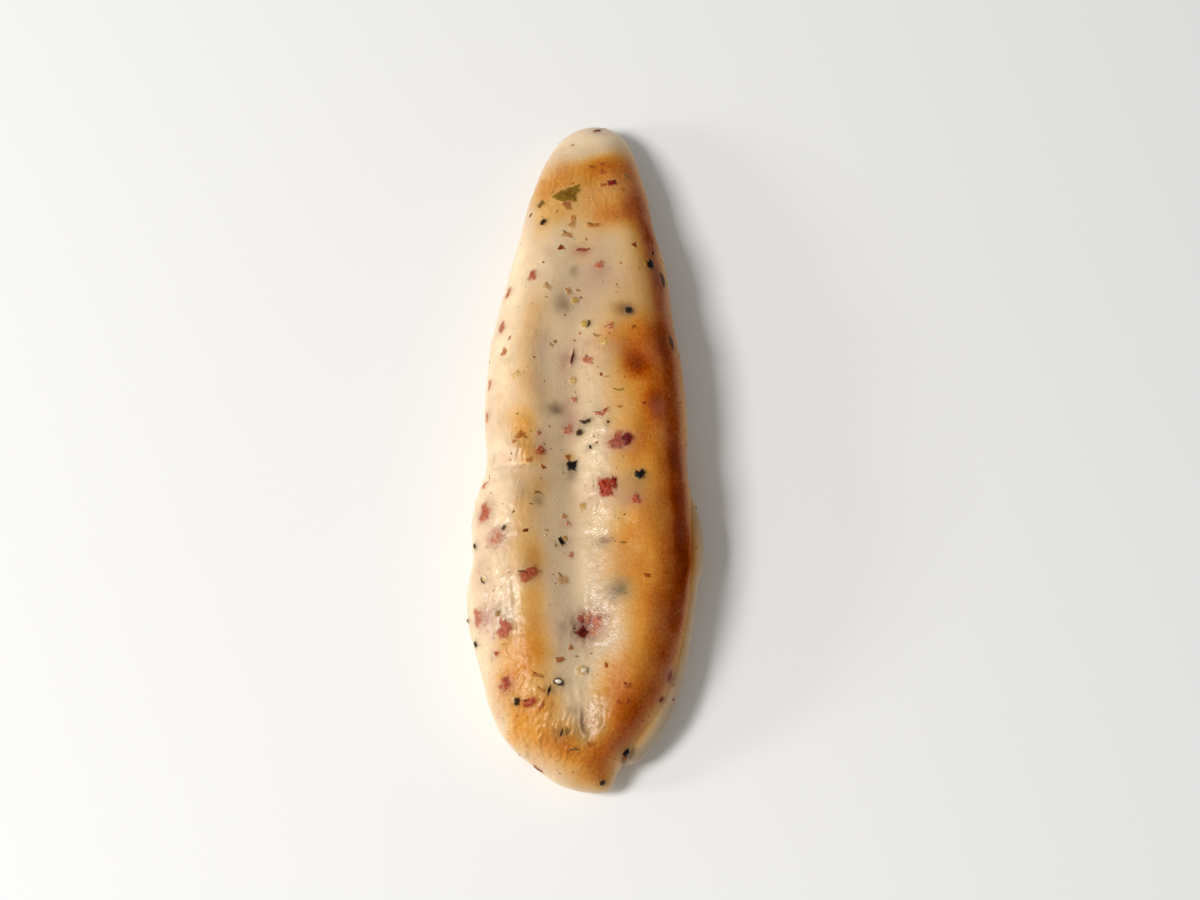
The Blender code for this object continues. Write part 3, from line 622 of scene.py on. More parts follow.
def skinValues(points):
    # what the paste's material reads at each point of the skin
    x, y, z = points.T
    start, over = stains["aboveRim"]
    top = np.clip((z - start * rimHeight(y)) / over, 0, 1)
    astray = [noiseAt(points, stains["driftSpacing"], shift) for shift in (11, 47, 83)]
    drifted = points + stains["drift"] * np.stack(astray, -1)
    shallow, deep = stains["creaseShadeFrom"]
    return {
        "brown": brownness(points),
        "haze": stainAmount("haze", points, drifted) * top,
        # painted shade on the right flank
        "steamed": paintedFlankShade(points),
        "blush": stainAmount("blush", points, drifted) * top,
        # painted shade, darker in the deeper creases
        "cleft": np.clip((creaseDepth(x, y) - shallow) / deep, 0, 1) * top,
        "wet": np.clip(patches(x, y, skin["wrinkled"]), 0, 1) * top,
    }


def skinMesh():
    # faces between the rings and to the two end points, with the values for the material
    points, ends = wornSkin()
    rows, count = points.shape[:2]
    index = np.arange(rows * count).reshape(rows, count)
    after = np.roll(index, -1, 1)
    quads = np.stack([index[:-1], index[1:], after[1:], after[:-1]], -1).reshape(-1, 4)
    nib, tip = rows * count, rows * count + 1
    fans = [(int(a), int(b), nib) for a, b in zip(index[0], after[0])]
    fans += [(int(b), int(a), tip) for a, b in zip(index[-1], after[-1])]
    allPoints = np.vstack([points.reshape(-1, 3), ends])
    mesh = bpy.data.meshes.new("cakeSkin")
    mesh.from_pydata((allPoints * mm).tolist(), [], quads.tolist() + fans)
    mesh.shade_smooth()
    shape = bmesh.new()
    shape.from_mesh(mesh)
    bmesh.ops.recalc_face_normals(shape, faces=shape.faces)
    shape.to_mesh(mesh)
    shape.free()
    for name, value in skinValues(allPoints).items():
        mesh.attributes.new(name, "FLOAT", "POINT").data.foreach_set("value", value.astype(np.float32))
    return mesh


# Shader and geometry node trees
def put(tree, kind, settings=None, inputs=None):
    # adds a node with its settings, and its inputs as values or as links from other nodes' outputs
    made = tree.nodes.new(kind)
    for name, value in (settings or {}).items():
        setattr(made, name, value)
    for name, value in (inputs or {}).items():
        if isinstance(value, bpy.types.NodeSocket):
            tree.links.new(value, made.inputs[name])
        else:
            made.inputs[name].default_value = value
    return made


def linear(hexColour):
    # sRGB hex to linear colour
    parts = [int(hexColour[i : i + 2], 16) / 255 for i in (1, 3, 5)]
    return tuple(c / 12.92 if c <= 0.04045 else ((c + 0.055) / 1.055) ** 2.4 for c in parts) + (1.0,)


def setRamp(ramp, stops):
    while len(ramp.color_ramp.elements) < len(stops):
        ramp.color_ramp.elements.new(0.5)
    for element, (position, colour) in zip(ramp.color_ramp.elements, stops):
        element.position = position
        element.color = linear(colour)


def newTree(name, kind, inputs, outputs):
    # an empty node group with its sockets, each a name and a type
    tree = bpy.data.node_groups.new(name, kind)
    for side, sockets in (("INPUT", inputs), ("OUTPUT", outputs)):
        for socket, value in sockets.items():
            tree.interface.new_socket(socket, in_out=side, socket_type="NodeSocket" + value)
    return tree


def newMaterial(name):
    made = bpy.data.materials.new(name)
    made.use_nodes = True
    made.node_tree.nodes.clear()
    return made, made.node_tree


pasteLook = {
    "stops": [
        (0.0, "#F8DDB4"), (0.14, "#DFC096"), (0.32, "#D8A660"), (0.48, "#CC862B"), (0.64, "#B66010"),
        (0.8, "#983E01"), (0.92, "#7C2C00"), (1.0, "#621E00"),
    ],
    # the grey of the painted shade on the right flank
    "steamed": "#A2917A",
    "haze": "#755E3C",
    "blush": "#A36B5C",
    # the dark brown of the painted shade in the creases
    "cleft": "#5A2416",
    "blotch": "#C58F68",
    "blotchSize": 2.4 * mm,
    "blotchShare": 0.24,
    # roughness of the plain and of the wet skin, and how strongly raw and burnt skin mirror the light
    "roughness": (0.4, 0.1),
    "sheen": (0.62, 0.0),
    "fleckSize": 0.45 * mm,
    "fleckShare": 0.42,
    "grainSize": 0.5 * mm,
    "grainHeight": 0.05 * mm,
    "glintSize": 0.3 * mm,
    "glintHeight": (0.016 * mm, 0.1 * mm),
    "scatterReach": (1.4 * mm, 0.6 * mm, 0.3 * mm),
    "scatter": 0.3,
    "noiseDetail": 3.0,
    "blotchFrom": (0.45, 0.75),  # what of the noise shows as blotches
    # how brown the skin is where the blotches are gone, where the mirroring starts to change, and where it
    # and the scattered light have changed
    "blotchGone": 0.5,
    "pale": 0.15,
    "burnt": 0.8,
    "refraction": 1.45,
}
# what is mixed over the paste's colour: painted shade on the right flank, haze, blush and painted shade in
# the creases
stainKinds = ("steamed", "haze", "blush", "cleft")


def pasteGroup():
    # the paste's colour from what the mesh stores, and its grain, shared by the skin and the bits' soft edges
    look = pasteLook
    given = {"Colour": "Color", "Brown": "Float", "Wet": "Float", "Normal": "Vector"}
    tree = newTree("pasteColour", "ShaderNodeTree", {}, given)
    place = put(tree, "ShaderNodeTexCoord").outputs["Object"]
    noises = {}
    for name in ("fleck", "grain", "glint", "blotch"):
        inputs = {"Vector": place, "Scale": 1 / look[name + "Size"], "Detail": look["noiseDetail"]}
        noises[name] = put(tree, "ShaderNodeTexNoise", None, inputs).outputs["Fac"]
    stored = {
        name: put(tree, "ShaderNodeAttribute", {"attribute_name": name}).outputs["Fac"]
        for name in ("brown", *stainKinds, "wet")
    }
    brown, wet = stored["brown"], stored["wet"]
    # the browning breaks into fine flecks where it is strong
    lift = noises["fleck"]
    for operation, by in (("SUBTRACT", 0.5), ("MULTIPLY", look["fleckShare"]), ("MULTIPLY", brown)):
        lift = put(tree, "ShaderNodeMath", {"operation": operation}, {0: lift, 1: by}).outputs[0]
    toned = put(tree, "ShaderNodeMath", {"operation": "ADD", "use_clamp": True}, {0: brown, 1: lift})
    ramp = put(tree, "ShaderNodeValToRGB", None, {"Fac": toned.outputs[0]})
    setRamp(ramp, look["stops"])
    colour = ramp.outputs["Color"]
    # warm cloudy blotches under the skin
    low, high = look["blotchFrom"]
    inputs = {"Value": noises["blotch"], "From Min": low, "From Max": high, "To Max": look["blotchShare"]}
    cloudy = put(tree, "ShaderNodeMapRange", None, inputs).outputs[0]
    inputs = {"Value": brown, "From Max": look["blotchGone"], "To Min": 1.0, "To Max": 0.0}
    raw = put(tree, "ShaderNodeMapRange", None, inputs).outputs[0]
    cloudy = put(tree, "ShaderNodeMath", {"operation": "MULTIPLY"}, {0: cloudy, 1: raw}).outputs[0]
    # the blotches, then the painted shade on the right flank, the haze, the blush and the painted shade in
    # the creases
    for name, amount in (("blotch", cloudy), *((name, stored[name]) for name in stainKinds)):
        inputs = {0: amount, 6: colour, 7: linear(look[name])}
        colour = put(tree, "ShaderNodeMix", {"data_type": "RGBA"}, inputs).outputs[2]
    # fine grain, and dimples that the wet skin glints from
    inputs = {"Height": noises["grain"], "Distance": look["grainHeight"]}
    normal = put(tree, "ShaderNodeBump", None, inputs).outputs["Normal"]
    dry, soaked = look["glintHeight"]
    deep = put(tree, "ShaderNodeMapRange", None, {"Value": wet, "To Min": dry, "To Max": soaked}).outputs[0]
    inputs = {"Height": noises["glint"], "Distance": deep, "Normal": normal}
    normal = put(tree, "ShaderNodeBump", None, inputs).outputs["Normal"]
    inputs = {"Colour": colour, "Brown": toned.outputs[0], "Wet": wet, "Normal": normal}
    put(tree, "NodeGroupOutput", None, inputs)
    return tree


def grilledFishPaste(paste):
    # steamed and grilled surimi: a moist satin skin that lets light in, golden to burnt where it was grilled
    look = pasteLook
    made, tree = newMaterial("grilledFishPaste")
    group = put(tree, "ShaderNodeGroup", {"node_tree": paste}).outputs
    brown = group["Brown"]
    inputs = {"Value": brown, "From Max": look["burnt"], "To Min": look["scatter"], "To Max": 0.0}
    scatter = put(tree, "ShaderNodeMapRange", None, inputs).outputs[0]
    pale, burnt = look["sheen"]
    inputs = {
        "Value": brown, "From Min": look["pale"], "From Max": look["burnt"], "To Min": pale, "To Max": burnt,
    }
    sheen = put(tree, "ShaderNodeMapRange", None, inputs).outputs[0]
    plain, wet = look["roughness"]
    inputs = {"Value": group["Wet"], "To Min": plain, "To Max": wet}
    rough = put(tree, "ShaderNodeMapRange", None, inputs).outputs[0]
    inputs = {
        "Base Color": group["Colour"], "Roughness": rough, "IOR": look["refraction"],
        "Specular IOR Level": sheen, "Normal": group["Normal"], "Subsurface Weight": scatter,
        "Subsurface Radius": look["scatterReach"], "Subsurface Scale": 1.0,
    }
    shader = put(tree, "ShaderNodeBsdfPrincipled", None, inputs)
    put(tree, "ShaderNodeOutputMaterial", None, {"Surface": shader.outputs[0]})
    return made


# What the materials of all the bits share
setIn = {
    "grainDetail": 3.0,
    "frayDetail": 2.0,
    "swing": {"From Min": 0.3, "From Max": 0.7, "To Min": -0.5, "To Max": 0.5},
    "fadeWithin": 0.3,  # of the way inwards from the edge
    "veiled": 0.6,  # share of a bit's own colour that a full veil hides
    "refraction": 1.45,
}


def setInPaste(name, look, paste):
    # a bit grown into the paste: its own mottled tone inside, the paste's colour at its blurred edge
    made, tree = newMaterial(name)
    place = put(tree, "ShaderNodeTexCoord").outputs["Object"]
    noises, swung = {}, {}
    for key in ("grain", "fray"):
        inputs = {"Vector": place, "Scale": 1 / look[key], "Detail": setIn[key + "Detail"]}
        noises[key] = put(tree, "ShaderNodeTexNoise", None, inputs).outputs["Fac"]
        inputs = {"Value": noises[key], **setIn["swing"]}
        swung[key] = put(tree, "ShaderNodeMapRange", {"clamp": False}, inputs).outputs[0]
    stored = {
        key: put(tree, "ShaderNodeAttribute", {"attribute_name": key}).outputs["Fac"]
        for key in ("tint", "veil", "inner")
    }
    inputs = {0: swung["grain"], 1: look["mottle"], 2: stored["tint"]}
    mottled = put(tree, "ShaderNodeMath", {"operation": "MULTIPLY_ADD"}, inputs)
    ramp = put(tree, "ShaderNodeValToRGB", None, {"Fac": mottled.outputs[0]})
    setRamp(ramp, look["stops"])
    inputs = {0: swung["fray"], 1: look["ragged"], 2: stored["inner"]}
    ragged = put(tree, "ShaderNodeMath", {"operation": "MULTIPLY_ADD"}, inputs).outputs[0]
    start, full = look["edge"]
    inputs = {0: stored["veil"], 1: -setIn["veiled"], 2: 1.0}
    shown = put(tree, "ShaderNodeMath", {"operation": "MULTIPLY_ADD"}, inputs).outputs[0]
    for value, low, high in ((ragged, start, full), (stored["inner"], 0.0, setIn["fadeWithin"])):
        inputs = {"Value": value, "From Min": low, "From Max": high}
        share = put(tree, "ShaderNodeMapRange", {"interpolation_type": "SMOOTHSTEP"}, inputs).outputs[0]
        shown = put(tree, "ShaderNodeMath", {"operation": "MULTIPLY"}, {0: shown, 1: share}).outputs[0]
    group = put(tree, "ShaderNodeGroup", {"node_tree": paste}).outputs
    inputs = {0: shown, 6: group["Colour"], 7: ramp.outputs["Color"]}
    colour = put(tree, "ShaderNodeMix", {"data_type": "RGBA"}, inputs)
    inputs = {"Height": noises["grain"], "Distance": look["bump"], "Normal": group["Normal"]}
    normal = put(tree, "ShaderNodeBump", None, inputs)
    inputs = {
        "Base Color": colour.outputs[2], "Roughness": look["roughness"], "IOR": setIn["refraction"],
        "Specular IOR Level": look["sheen"], "Normal": normal.outputs["Normal"],
    }
    shader = put(tree, "ShaderNodeBsdfPrincipled", None, inputs)
    put(tree, "ShaderNodeOutputMaterial", None, {"Surface": shader.outputs[0]})
    return made


# Outlines of the bits, one unit across; a leaf's runs from its point to its broad end
outlines = [
    [(-0.5, 0.48), (0.5, 0.34), (0.46, -0.5), (-0.28, -0.32)],
    [(-0.5, 0.32), (0.5, 0.4), (0.05, -0.48)],
    [(-0.5, 0.3), (-0.3, 0.46), (0.44, 0.4), (0.5, -0.25), (0.28, -0.46), (-0.42, -0.42)],
    [(-0.5, 0.38), (-0.22, 0.02), (0.2, 0.0), (0.5, 0.44), (0.44, -0.15), (0.0, -0.5), (-0.42, -0.12)],
    [
        (-0.5, 0.1), (-0.3, 0.5), (0.0, 0.28), (0.32, 0.48), (0.5, 0.0), (0.24, -0.2), (0.2, -0.5),
        (-0.25, -0.4),
    ],
    [(-0.5, -0.06), (-0.15, 0.26), (0.5, 0.48), (0.46, 0.1), (0.32, -0.48), (0.0, -0.42), (-0.28, -0.28)],
    [
        (-0.5, 0.2), (-0.3, 0.45), (0.05, 0.3), (0.5, 0.5), (0.42, 0.0), (0.3, -0.5), (0.0, -0.36),
        (-0.4, -0.42),
    ],
    [
        (-0.5, 0.0), (-0.36, 0.36), (0.0, 0.5), (0.36, 0.36), (0.5, 0.0), (0.36, -0.36), (0.0, -0.5),
        (-0.36, -0.36),
    ],
    [(-0.5, 0.0), (-0.1, 0.42), (0.5, 0.05), (0.12, -0.45)],
]
chunk, shard, bar, crescent, ragged, fan, burr, bead, sliver = range(len(outlines))
# rings of a bit from its sunk root inwards: share of the outline, rise and how far inside it is
profiles = {
    "flat": [(1.25, -0.6, 0.0), (1.0, 0.03, 0.0), (0.87, 0.14, 0.2), (0.7, 0.45, 0.5), (0.48, 0.85, 0.85)],
    "domed": [(1.2, -0.6, 0.0), (1.0, 0.03, 0.0), (0.88, 0.22, 0.2), (0.7, 0.65, 0.58), (0.4, 0.95, 0.9)],
    "crumb": [(1.2, -0.8, 0.0), (0.9, 0.3, 0.4), (0.5, 0.95, 0.9)],
}
# how every bit is shaped and laid
shaping = {
    "seed": 11,
    "cornerStray": 0.05,
    # where each side of an outline is cut round
    "cuts": {"flat": (0.1, 0.36, 0.64, 0.9), "domed": (0.1, 0.36, 0.64, 0.9), "crumb": (0.25, 0.75)},
    "grain": {"Scale": 1 / (0.45 * mm), "Detail": 1.0},  # noise that its rise follows
    "rough": 1.5,  # how strongly
    "lean": 0.01,
    "wellAbove": 40.0,  # millimetres, higher than the cake
    "boxMargin": 0.01 * mm,  # by which everything stays inside the solid's box
}

# What is set in the paste. Places: x, y, length, width in millimetres, turn in degrees, outline, tint along
# the ramp, and how much of it the paste veils
bits = {
    "salami": {
        # cured meat, chopped: dark red lean with paler fat, moist
        "grain": 0.42 * mm, "mottle": 0.6, "bump": 0.05 * mm, "roughness": 0.4, "sheen": 0.15,
        "profile": "flat", "proud": 0.16, "grown": 1.4,
        "fray": 0.8 * mm, "ragged": 0.5, "edge": (0.06, 0.85),
        "stops": [(0.0, "#4A0C08"), (0.3, "#841E0C"), (0.55, "#A43E1E"), (0.8, "#B46844"), (1.0, "#CDA480")],
        "places": [
            (3.2, -10.5, 2.9, 3.5, 0, chunk, 0.42, 0.0), (0.3, -31.4, 1.8, 1.6, 20, ragged, 0.85, 0.45),
            (1.9, -32.2, 1.9, 1.7, 70, bead, 0.75, 0.5), (1.3, -33.8, 1.6, 1.4, -30, ragged, 0.9, 0.55),
            (-0.5, -33.8, 2.4, 2.2, 40, chunk, 0.15, 0.0), (-0.6, -31.6, 1.4, 1.5, 20, ragged, 0.35, 0.4),
            (2.0, -32.0, 1.1, 2.2, -20, bar, 0.4, 0.5), (6.6, -2.6, 2.2, 2.0, 30, bead, 0.05, 0.0),
            (5.2, -2.9, 3.2, 2.6, 60, ragged, 0.35, 0.4), (-2.2, 12.3, 3.0, 0.5, 80, sliver, 0.0, 0.0),
            (4.6, -9.8, 0.9, 2.2, 0, bar, 0.25, 0.0), (-15.9, -14.0, 3.2, 2.8, 70, ragged, 0.6, 0.25),
            (-8.8, -25.0, 3.6, 2.0, 28, bar, 0.5, 0.2), (-12.7, -33.6, 3.2, 2.7, 60, burr, 0.5, 0.25),
            (-17.0, -30.8, 3.2, 1.9, 95, ragged, 0.65, 0.4), (-12.3, -41.8, 1.9, 1.5, 110, chunk, 0.4, 0.1),
            (-8.6, -45.0, 2.6, 1.3, 25, bar, 0.45, 0.15), (-13.7, 18.4, 2.2, 1.7, 100, bead, 0.6, 0.3),
            (-8.7, 27.0, 2.1, 1.4, 82, bar, 0.55, 0.2), (-12.7, 25.0, 2.3, 1.3, 75, ragged, 0.6, 0.3),
            (-15.6, 8.8, 1.9, 1.3, 90, burr, 0.6, 0.35), (-15.9, 3.5, 1.8, 1.3, 100, ragged, 0.6, 0.4),
            (-2.8, -0.2, 1.9, 1.6, 40, ragged, 0.65, 0.45), (8.0, -12.8, 1.8, 1.4, -60, ragged, 0.55, 0.25),
            (0.4, 11.7, 1.9, 1.4, -20, bar, 0.65, 0.3), (4.3, 44.0, 1.6, 1.2, 15, bar, 0.2, 0.0),
            (1.8, 55.4, 2.1, 1.0, 50, sliver, 0.1, 0.1), (2.3, 28.5, 1.5, 1.4, 30, ragged, 0.65, 0.3),
            (-0.5, 31.6, 2.4, 0.9, 0, sliver, 0.35, 0.2), (2.6, 2.3, 2.3, 1.2, 8, crescent, 0.6, 0.2),
            (-7.3, -4.3, 1.7, 1.5, 50, chunk, 0.55, 0.1), (-14.0, -18.5, 2.6, 2.1, 60, ragged, 0.85, 0.5),
            (3.9, 17.1, 2.0, 1.4, 20, shard, 0.7, 0.25), (13.3, -40.0, 1.9, 1.4, 80, bead, 0.25, 0.45),
            (-2.3, -21.2, 1.0, 0.7, 70, bar, 0.7, 0.3), (-2.9, -16.0, 1.2, 0.9, -60, shard, 0.7, 0.35),
            (-16.2, -8.9, 1.3, 0.9, 50, bar, 0.6, 0.2), (-1.8, 5.0, 1.1, 1.0, 10, ragged, 0.65, 0.4),
            (11.9, -43.6, 1.3, 1.1, 20, chunk, 0.2, 0.1), (-7.6, -1.2, 0.8, 0.7, 40, chunk, 0.7, 0.3),
            (-14.0, -37.1, 1.5, 0.9, -10, shard, 0.5, 0.1), (-13.2, -42.2, 1.0, 0.8, 30, ragged, 0.6, 0.4),
        ],
    },
    "pepper": {
        # cracked black peppercorn: wrinkled dark husk with a few pale breaks
        "grain": 0.4 * mm, "mottle": 0.4, "bump": 0.08 * mm, "roughness": 0.5, "sheen": 0.12,
        "profile": "domed", "proud": 0.26, "grown": 1.3,
        "fray": 0.6 * mm, "ragged": 0.42, "edge": (0.06, 0.8),
        "stops": [(0.0, "#0B0807"), (0.5, "#1B130D"), (0.8, "#3C2618"), (1.0, "#6E4A28")],
        "places": [
            (-2.2, -6.2, 1.9, 1.8, 0, burr, 0.1, 0.0), (10.5, 28.9, 1.9, 1.8, 45, ragged, 0.0, 0.0),
            (10.9, 31.2, 1.2, 0.7, 80, sliver, 0.1, 0.0), (8.7, -8.5, 2.0, 1.6, 20, ragged, 0.1, 0.0),
            (-3.9, -19.1, 1.6, 0.9, -50, bar, 0.1, 0.0), (7.0, 19.9, 1.4, 1.2, -20, bead, 0.2, 0.1),
            (-4.2, -41.9, 1.8, 1.3, -10, bead, 0.5, 0.1), (-10.7, -44.8, 1.3, 1.0, 80, bar, 0.3, 0.1),
            (6.4, -51.8, 1.5, 1.2, 50, burr, 0.1, 0.0), (-17.6, -18.6, 1.2, 0.8, -50, sliver, 0.2, 0.0),
            (-17.3, -34.5, 1.2, 0.9, -50, burr, 0.2, 0.0), (-16.2, -25.3, 1.4, 0.5, -50, crescent, 0.4, 0.1),
            (-0.9, -0.7, 1.2, 1.2, 0, bead, 0.7, 0.0), (-7.0, 37.0, 1.3, 1.1, 70, bead, 0.6, 0.0),
            (2.6, -56.3, 1.1, 1.0, 80, bead, 0.6, 0.1), (0.8, -3.4, 0.9, 0.5, -55, sliver, 0.1, 0.0),
            (-5.7, -43.3, 1.9, 0.5, 75, sliver, 0.2, 0.0), (0.0, 1.1, 2.1, 1.1, 0, crescent, 0.72, 0.0),
            (0.5, 18.2, 1.2, 0.5, 80, crescent, 0.3, 0.1), (-18.6, -30.3, 0.7, 0.6, 0, bead, 0.9, 0.1),
            (-3.7, -49.6, 1.4, 0.5, 78, sliver, 0.3, 0.1), (12.5, 27.0, 2.6, 1.5, 100, bead, 0.8, 0.15),
            (13.8, 15.3, 2.4, 1.4, 100, bead, 0.75, 0.25), (-12.9, -17.2, 0.9, 0.6, 50, burr, 0.5, 0.3),
            (3.6, 0.5, 0.4, 0.4, 0, bead, 0.8, 0.1),
        ],
    },
    "mustardSeed": {
        # whole and split mustard seed: smooth ochre hull
        "grain": 0.5 * mm, "mottle": 0.5, "bump": 0.03 * mm, "roughness": 0.38, "sheen": 0.25,
        "profile": "domed", "proud": 0.16, "grown": 1.28,
        "fray": 0.7 * mm, "ragged": 0.45, "edge": (0.06, 0.8),
        "stops": [(0.0, "#6A4414"), (0.4, "#A47A2C"), (0.75, "#C49C48"), (1.0, "#E2CFA0")],
        "places": [
            (-0.2, 18.2, 1.5, 1.3, 80, bead, 0.6, 0.1), (-1.8, 22.5, 1.3, 1.2, 0, bead, 0.6, 0.2),
            (-2.1, 8.4, 1.3, 1.2, 90, bead, 0.7, 0.3), (-0.5, -39.9, 1.9, 1.5, 0, bead, 0.5, 0.6),
            (-11.2, 8.8, 1.6, 1.2, 30, bar, 0.7, 0.3), (3.0, 14.6, 1.3, 1.1, 80, bead, 0.7, 0.2),
            (1.8, 15.9, 1.6, 0.8, -20, crescent, 0.2, 0.2), (-7.6, -11.4, 1.5, 0.6, 180, crescent, 0.1, 0.2),
            (6.6, 45.7, 1.2, 1.1, 30, bead, 0.3, 0.3), (-1.7, -52.0, 1.5, 0.7, 180, crescent, 0.0, 0.0),
            (-3.0, -49.3, 1.2, 1.0, 60, bead, 0.3, 0.3), (-0.4, -13.2, 1.1, 1.3, 0, bar, 0.5, 0.3),
            (-16.0, -25.0, 1.2, 1.1, 60, bead, 0.9, 0.3), (-3.3, -18.5, 0.9, 0.9, 0, bead, 0.5, 0.2),
        ],
    },
    "peppercornHeart": {
        # painted highlights: pale glossy spots on a peppercorn and on a seed
        "grain": 0.4 * mm, "mottle": 0.5, "bump": 0.02 * mm, "roughness": 0.16, "sheen": 0.6,
        "profile": "domed", "proud": 0.48, "grown": 1.1,
        "fray": 0.7 * mm, "ragged": 0.4, "edge": (0.05, 0.4),
        "stops": [(0.0, "#8C7452"), (0.5, "#CDBB9E"), (1.0, "#F4EBDC")],
        "places": [
            (-4.2, -41.85, 1.35, 0.85, -10, bead, 0.8, 0.0), (-0.1, -39.9, 1.3, 1.1, 0, burr, 0.5, 0.3),
        ],
    },
    "chiliFlake": {
        # dried chili and paprika, crushed: thin orange-brown skin
        "grain": 0.5 * mm, "mottle": 0.5, "bump": 0.03 * mm, "roughness": 0.45, "sheen": 0.15,
        "profile": "flat", "proud": 0.08, "grown": 1.4,
        "fray": 0.7 * mm, "ragged": 0.5, "edge": (0.06, 0.85),
        "stops": [(0.0, "#6A1C06"), (0.4, "#984310"), (0.7, "#A66226"), (1.0, "#B8863F")],
        "places": [
            (-3.0, 39.9, 1.7, 1.9, 20, ragged, 0.15, 0.5), (1.3, 36.1, 2.5, 0.9, 0, bar, 0.6, 0.2),
            (-2.2, 37.0, 2.4, 1.1, 82, bar, 0.8, 0.3), (-3.1, 34.4, 1.9, 1.1, -12, bar, 0.85, 0.3),
            (-4.0, 32.1, 1.5, 1.3, 180, shard, 0.15, 0.0), (8.0, 32.0, 1.2, 1.1, 30, shard, 0.3, 0.0),
            (-6.3, 24.6, 1.5, 1.0, -35, bar, 0.85, 0.5), (-2.9, 24.2, 1.4, 1.0, 110, bar, 0.8, 0.4),
            (-10.5, -1.7, 1.6, 1.4, 60, chunk, 0.55, 0.15), (-8.9, -5.9, 1.5, 1.1, 40, ragged, 0.55, 0.3),
            (-6.9, -6.9, 1.3, 0.8, -30, shard, 0.3, 0.0), (-2.7, -4.7, 1.4, 1.1, 130, shard, 0.15, 0.1),
            (-13.2, 13.5, 1.7, 1.5, 60, ragged, 0.6, 0.2), (-3.9, -38.4, 1.6, 0.9, 15, bar, 0.5, 0.1),
            (-2.2, -36.5, 1.2, 1.1, 60, shard, 0.6, 0.2), (-7.4, -41.0, 2.1, 0.7, -12, bar, 0.65, 0.3),
            (-6.7, -45.7, 1.7, 0.7, 65, ragged, 0.35, 0.2), (6.6, -42.6, 1.4, 1.0, 0, bar, 0.45, 0.1),
            (5.2, -45.1, 1.1, 0.9, 180, shard, 0.45, 0.1), (9.7, -25.3, 1.1, 0.8, 0, chunk, 0.35, 0.0),
            (2.7, 46.2, 1.3, 1.0, -40, ragged, 0.5, 0.2), (-9.5, -17.9, 1.2, 0.9, 30, sliver, 0.0, 0.0),
            (0.9, -51.3, 1.1, 0.9, 30, bar, 0.5, 0.2), (-6.9, -43.2, 1.7, 0.5, -30, bar, 0.7, 0.3),
            (6.7, -44.9, 1.0, 0.7, 180, shard, 0.4, 0.1), (3.3, -39.2, 0.6, 0.9, 0, bar, 0.4, 0.0),
            (5.4, 2.9, 1.1, 0.8, 0, shard, 0.7, 0.1), (2.6, 47.7, 0.9, 0.8, 20, ragged, 0.5, 0.3),
            (1.0, 47.2, 1.3, 0.7, 5, bar, 0.55, 0.4), (2.9, 43.7, 1.2, 0.7, 10, bar, 0.4, 0.3),
            (6.1, 42.8, 1.6, 0.5, 5, sliver, 0.5, 0.2), (-9.2, 39.4, 0.9, 0.7, 30, bead, 0.05, 0.1),
            (-3.5, -25.4, 1.9, 1.7, 0, bar, 0.95, 0.55), (2.5, 8.9, 0.6, 1.0, 20, sliver, 0.15, 0.0),
            (9.3, 3.6, 0.9, 0.6, 10, shard, 0.2, 0.1), (-9.7, -2.0, 0.8, 0.7, 0, bar, 0.7, 0.2),
            (-11.3, -2.6, 0.8, 0.7, 0, bar, 0.7, 0.2), (-3.3, -14.8, 1.0, 0.8, -20, bar, 0.75, 0.3),
            (-12.4, 15.8, 0.8, 0.5, 60, bar, 0.6, 0.3), (7.8, 17.0, 0.8, 0.7, 30, bar, 0.2, 0.3),
            (-5.6, 14.4, 0.8, 0.6, -20, bar, 0.8, 0.3), (-8.4, 11.8, 0.5, 0.4, 0, bead, 0.4, 0.2),
            (-1.3, 24.3, 0.8, 0.5, 0, bar, 0.8, 0.4),
        ],
    },
    "herbLeaf": {
        # dried green herb, gone olive in the grill
        "grain": 0.8 * mm, "mottle": 0.5, "bump": 0.03 * mm, "roughness": 0.48, "sheen": 0.15,
        "profile": "flat", "proud": 0.08, "grown": 1.18,
        "fray": 0.8 * mm, "ragged": 0.45, "edge": (0.06, 0.5),
        "stops": [(0.0, "#4E3206"), (0.4, "#775210"), (0.7, "#8A6A1E"), (1.0, "#9E8438")],
        "places": [
            (-3.4, 42.2, 5.2, 3.5, 3, fan, 0.45, 0.0), (-7.5, 40.8, 1.6, 1.3, 40, burr, 0.25, 0.25),
            (5.3, 6.0, 2.0, 0.7, -5, crescent, 0.75, 0.2), (-13.8, -31.0, 1.2, 1.1, 0, burr, 0.5, 0.3),
            (-5.0, 15.0, 0.8, 0.6, 30, bar, 0.6, 0.3), (-8.6, -13.4, 1.1, 0.4, 0, sliver, 0.6, 0.2),
            (-1.4, -37.7, 1.0, 0.4, 0, sliver, 0.8, 0.3), (-2.3, 52.1, 0.9, 0.8, 30, shard, 0.8, 0.3),
            (3.4, 8.4, 1.3, 0.4, 0, sliver, 0.8, 0.2), (-6.1, -17.5, 0.9, 0.35, 0, sliver, 0.6, 0.1),
            (6.0, -19.8, 1.3, 0.5, 0, sliver, 0.3, 0.3), (5.0, 37.4, 0.5, 0.4, 0, bead, 0.6, 0.2),
        ],
    },
}


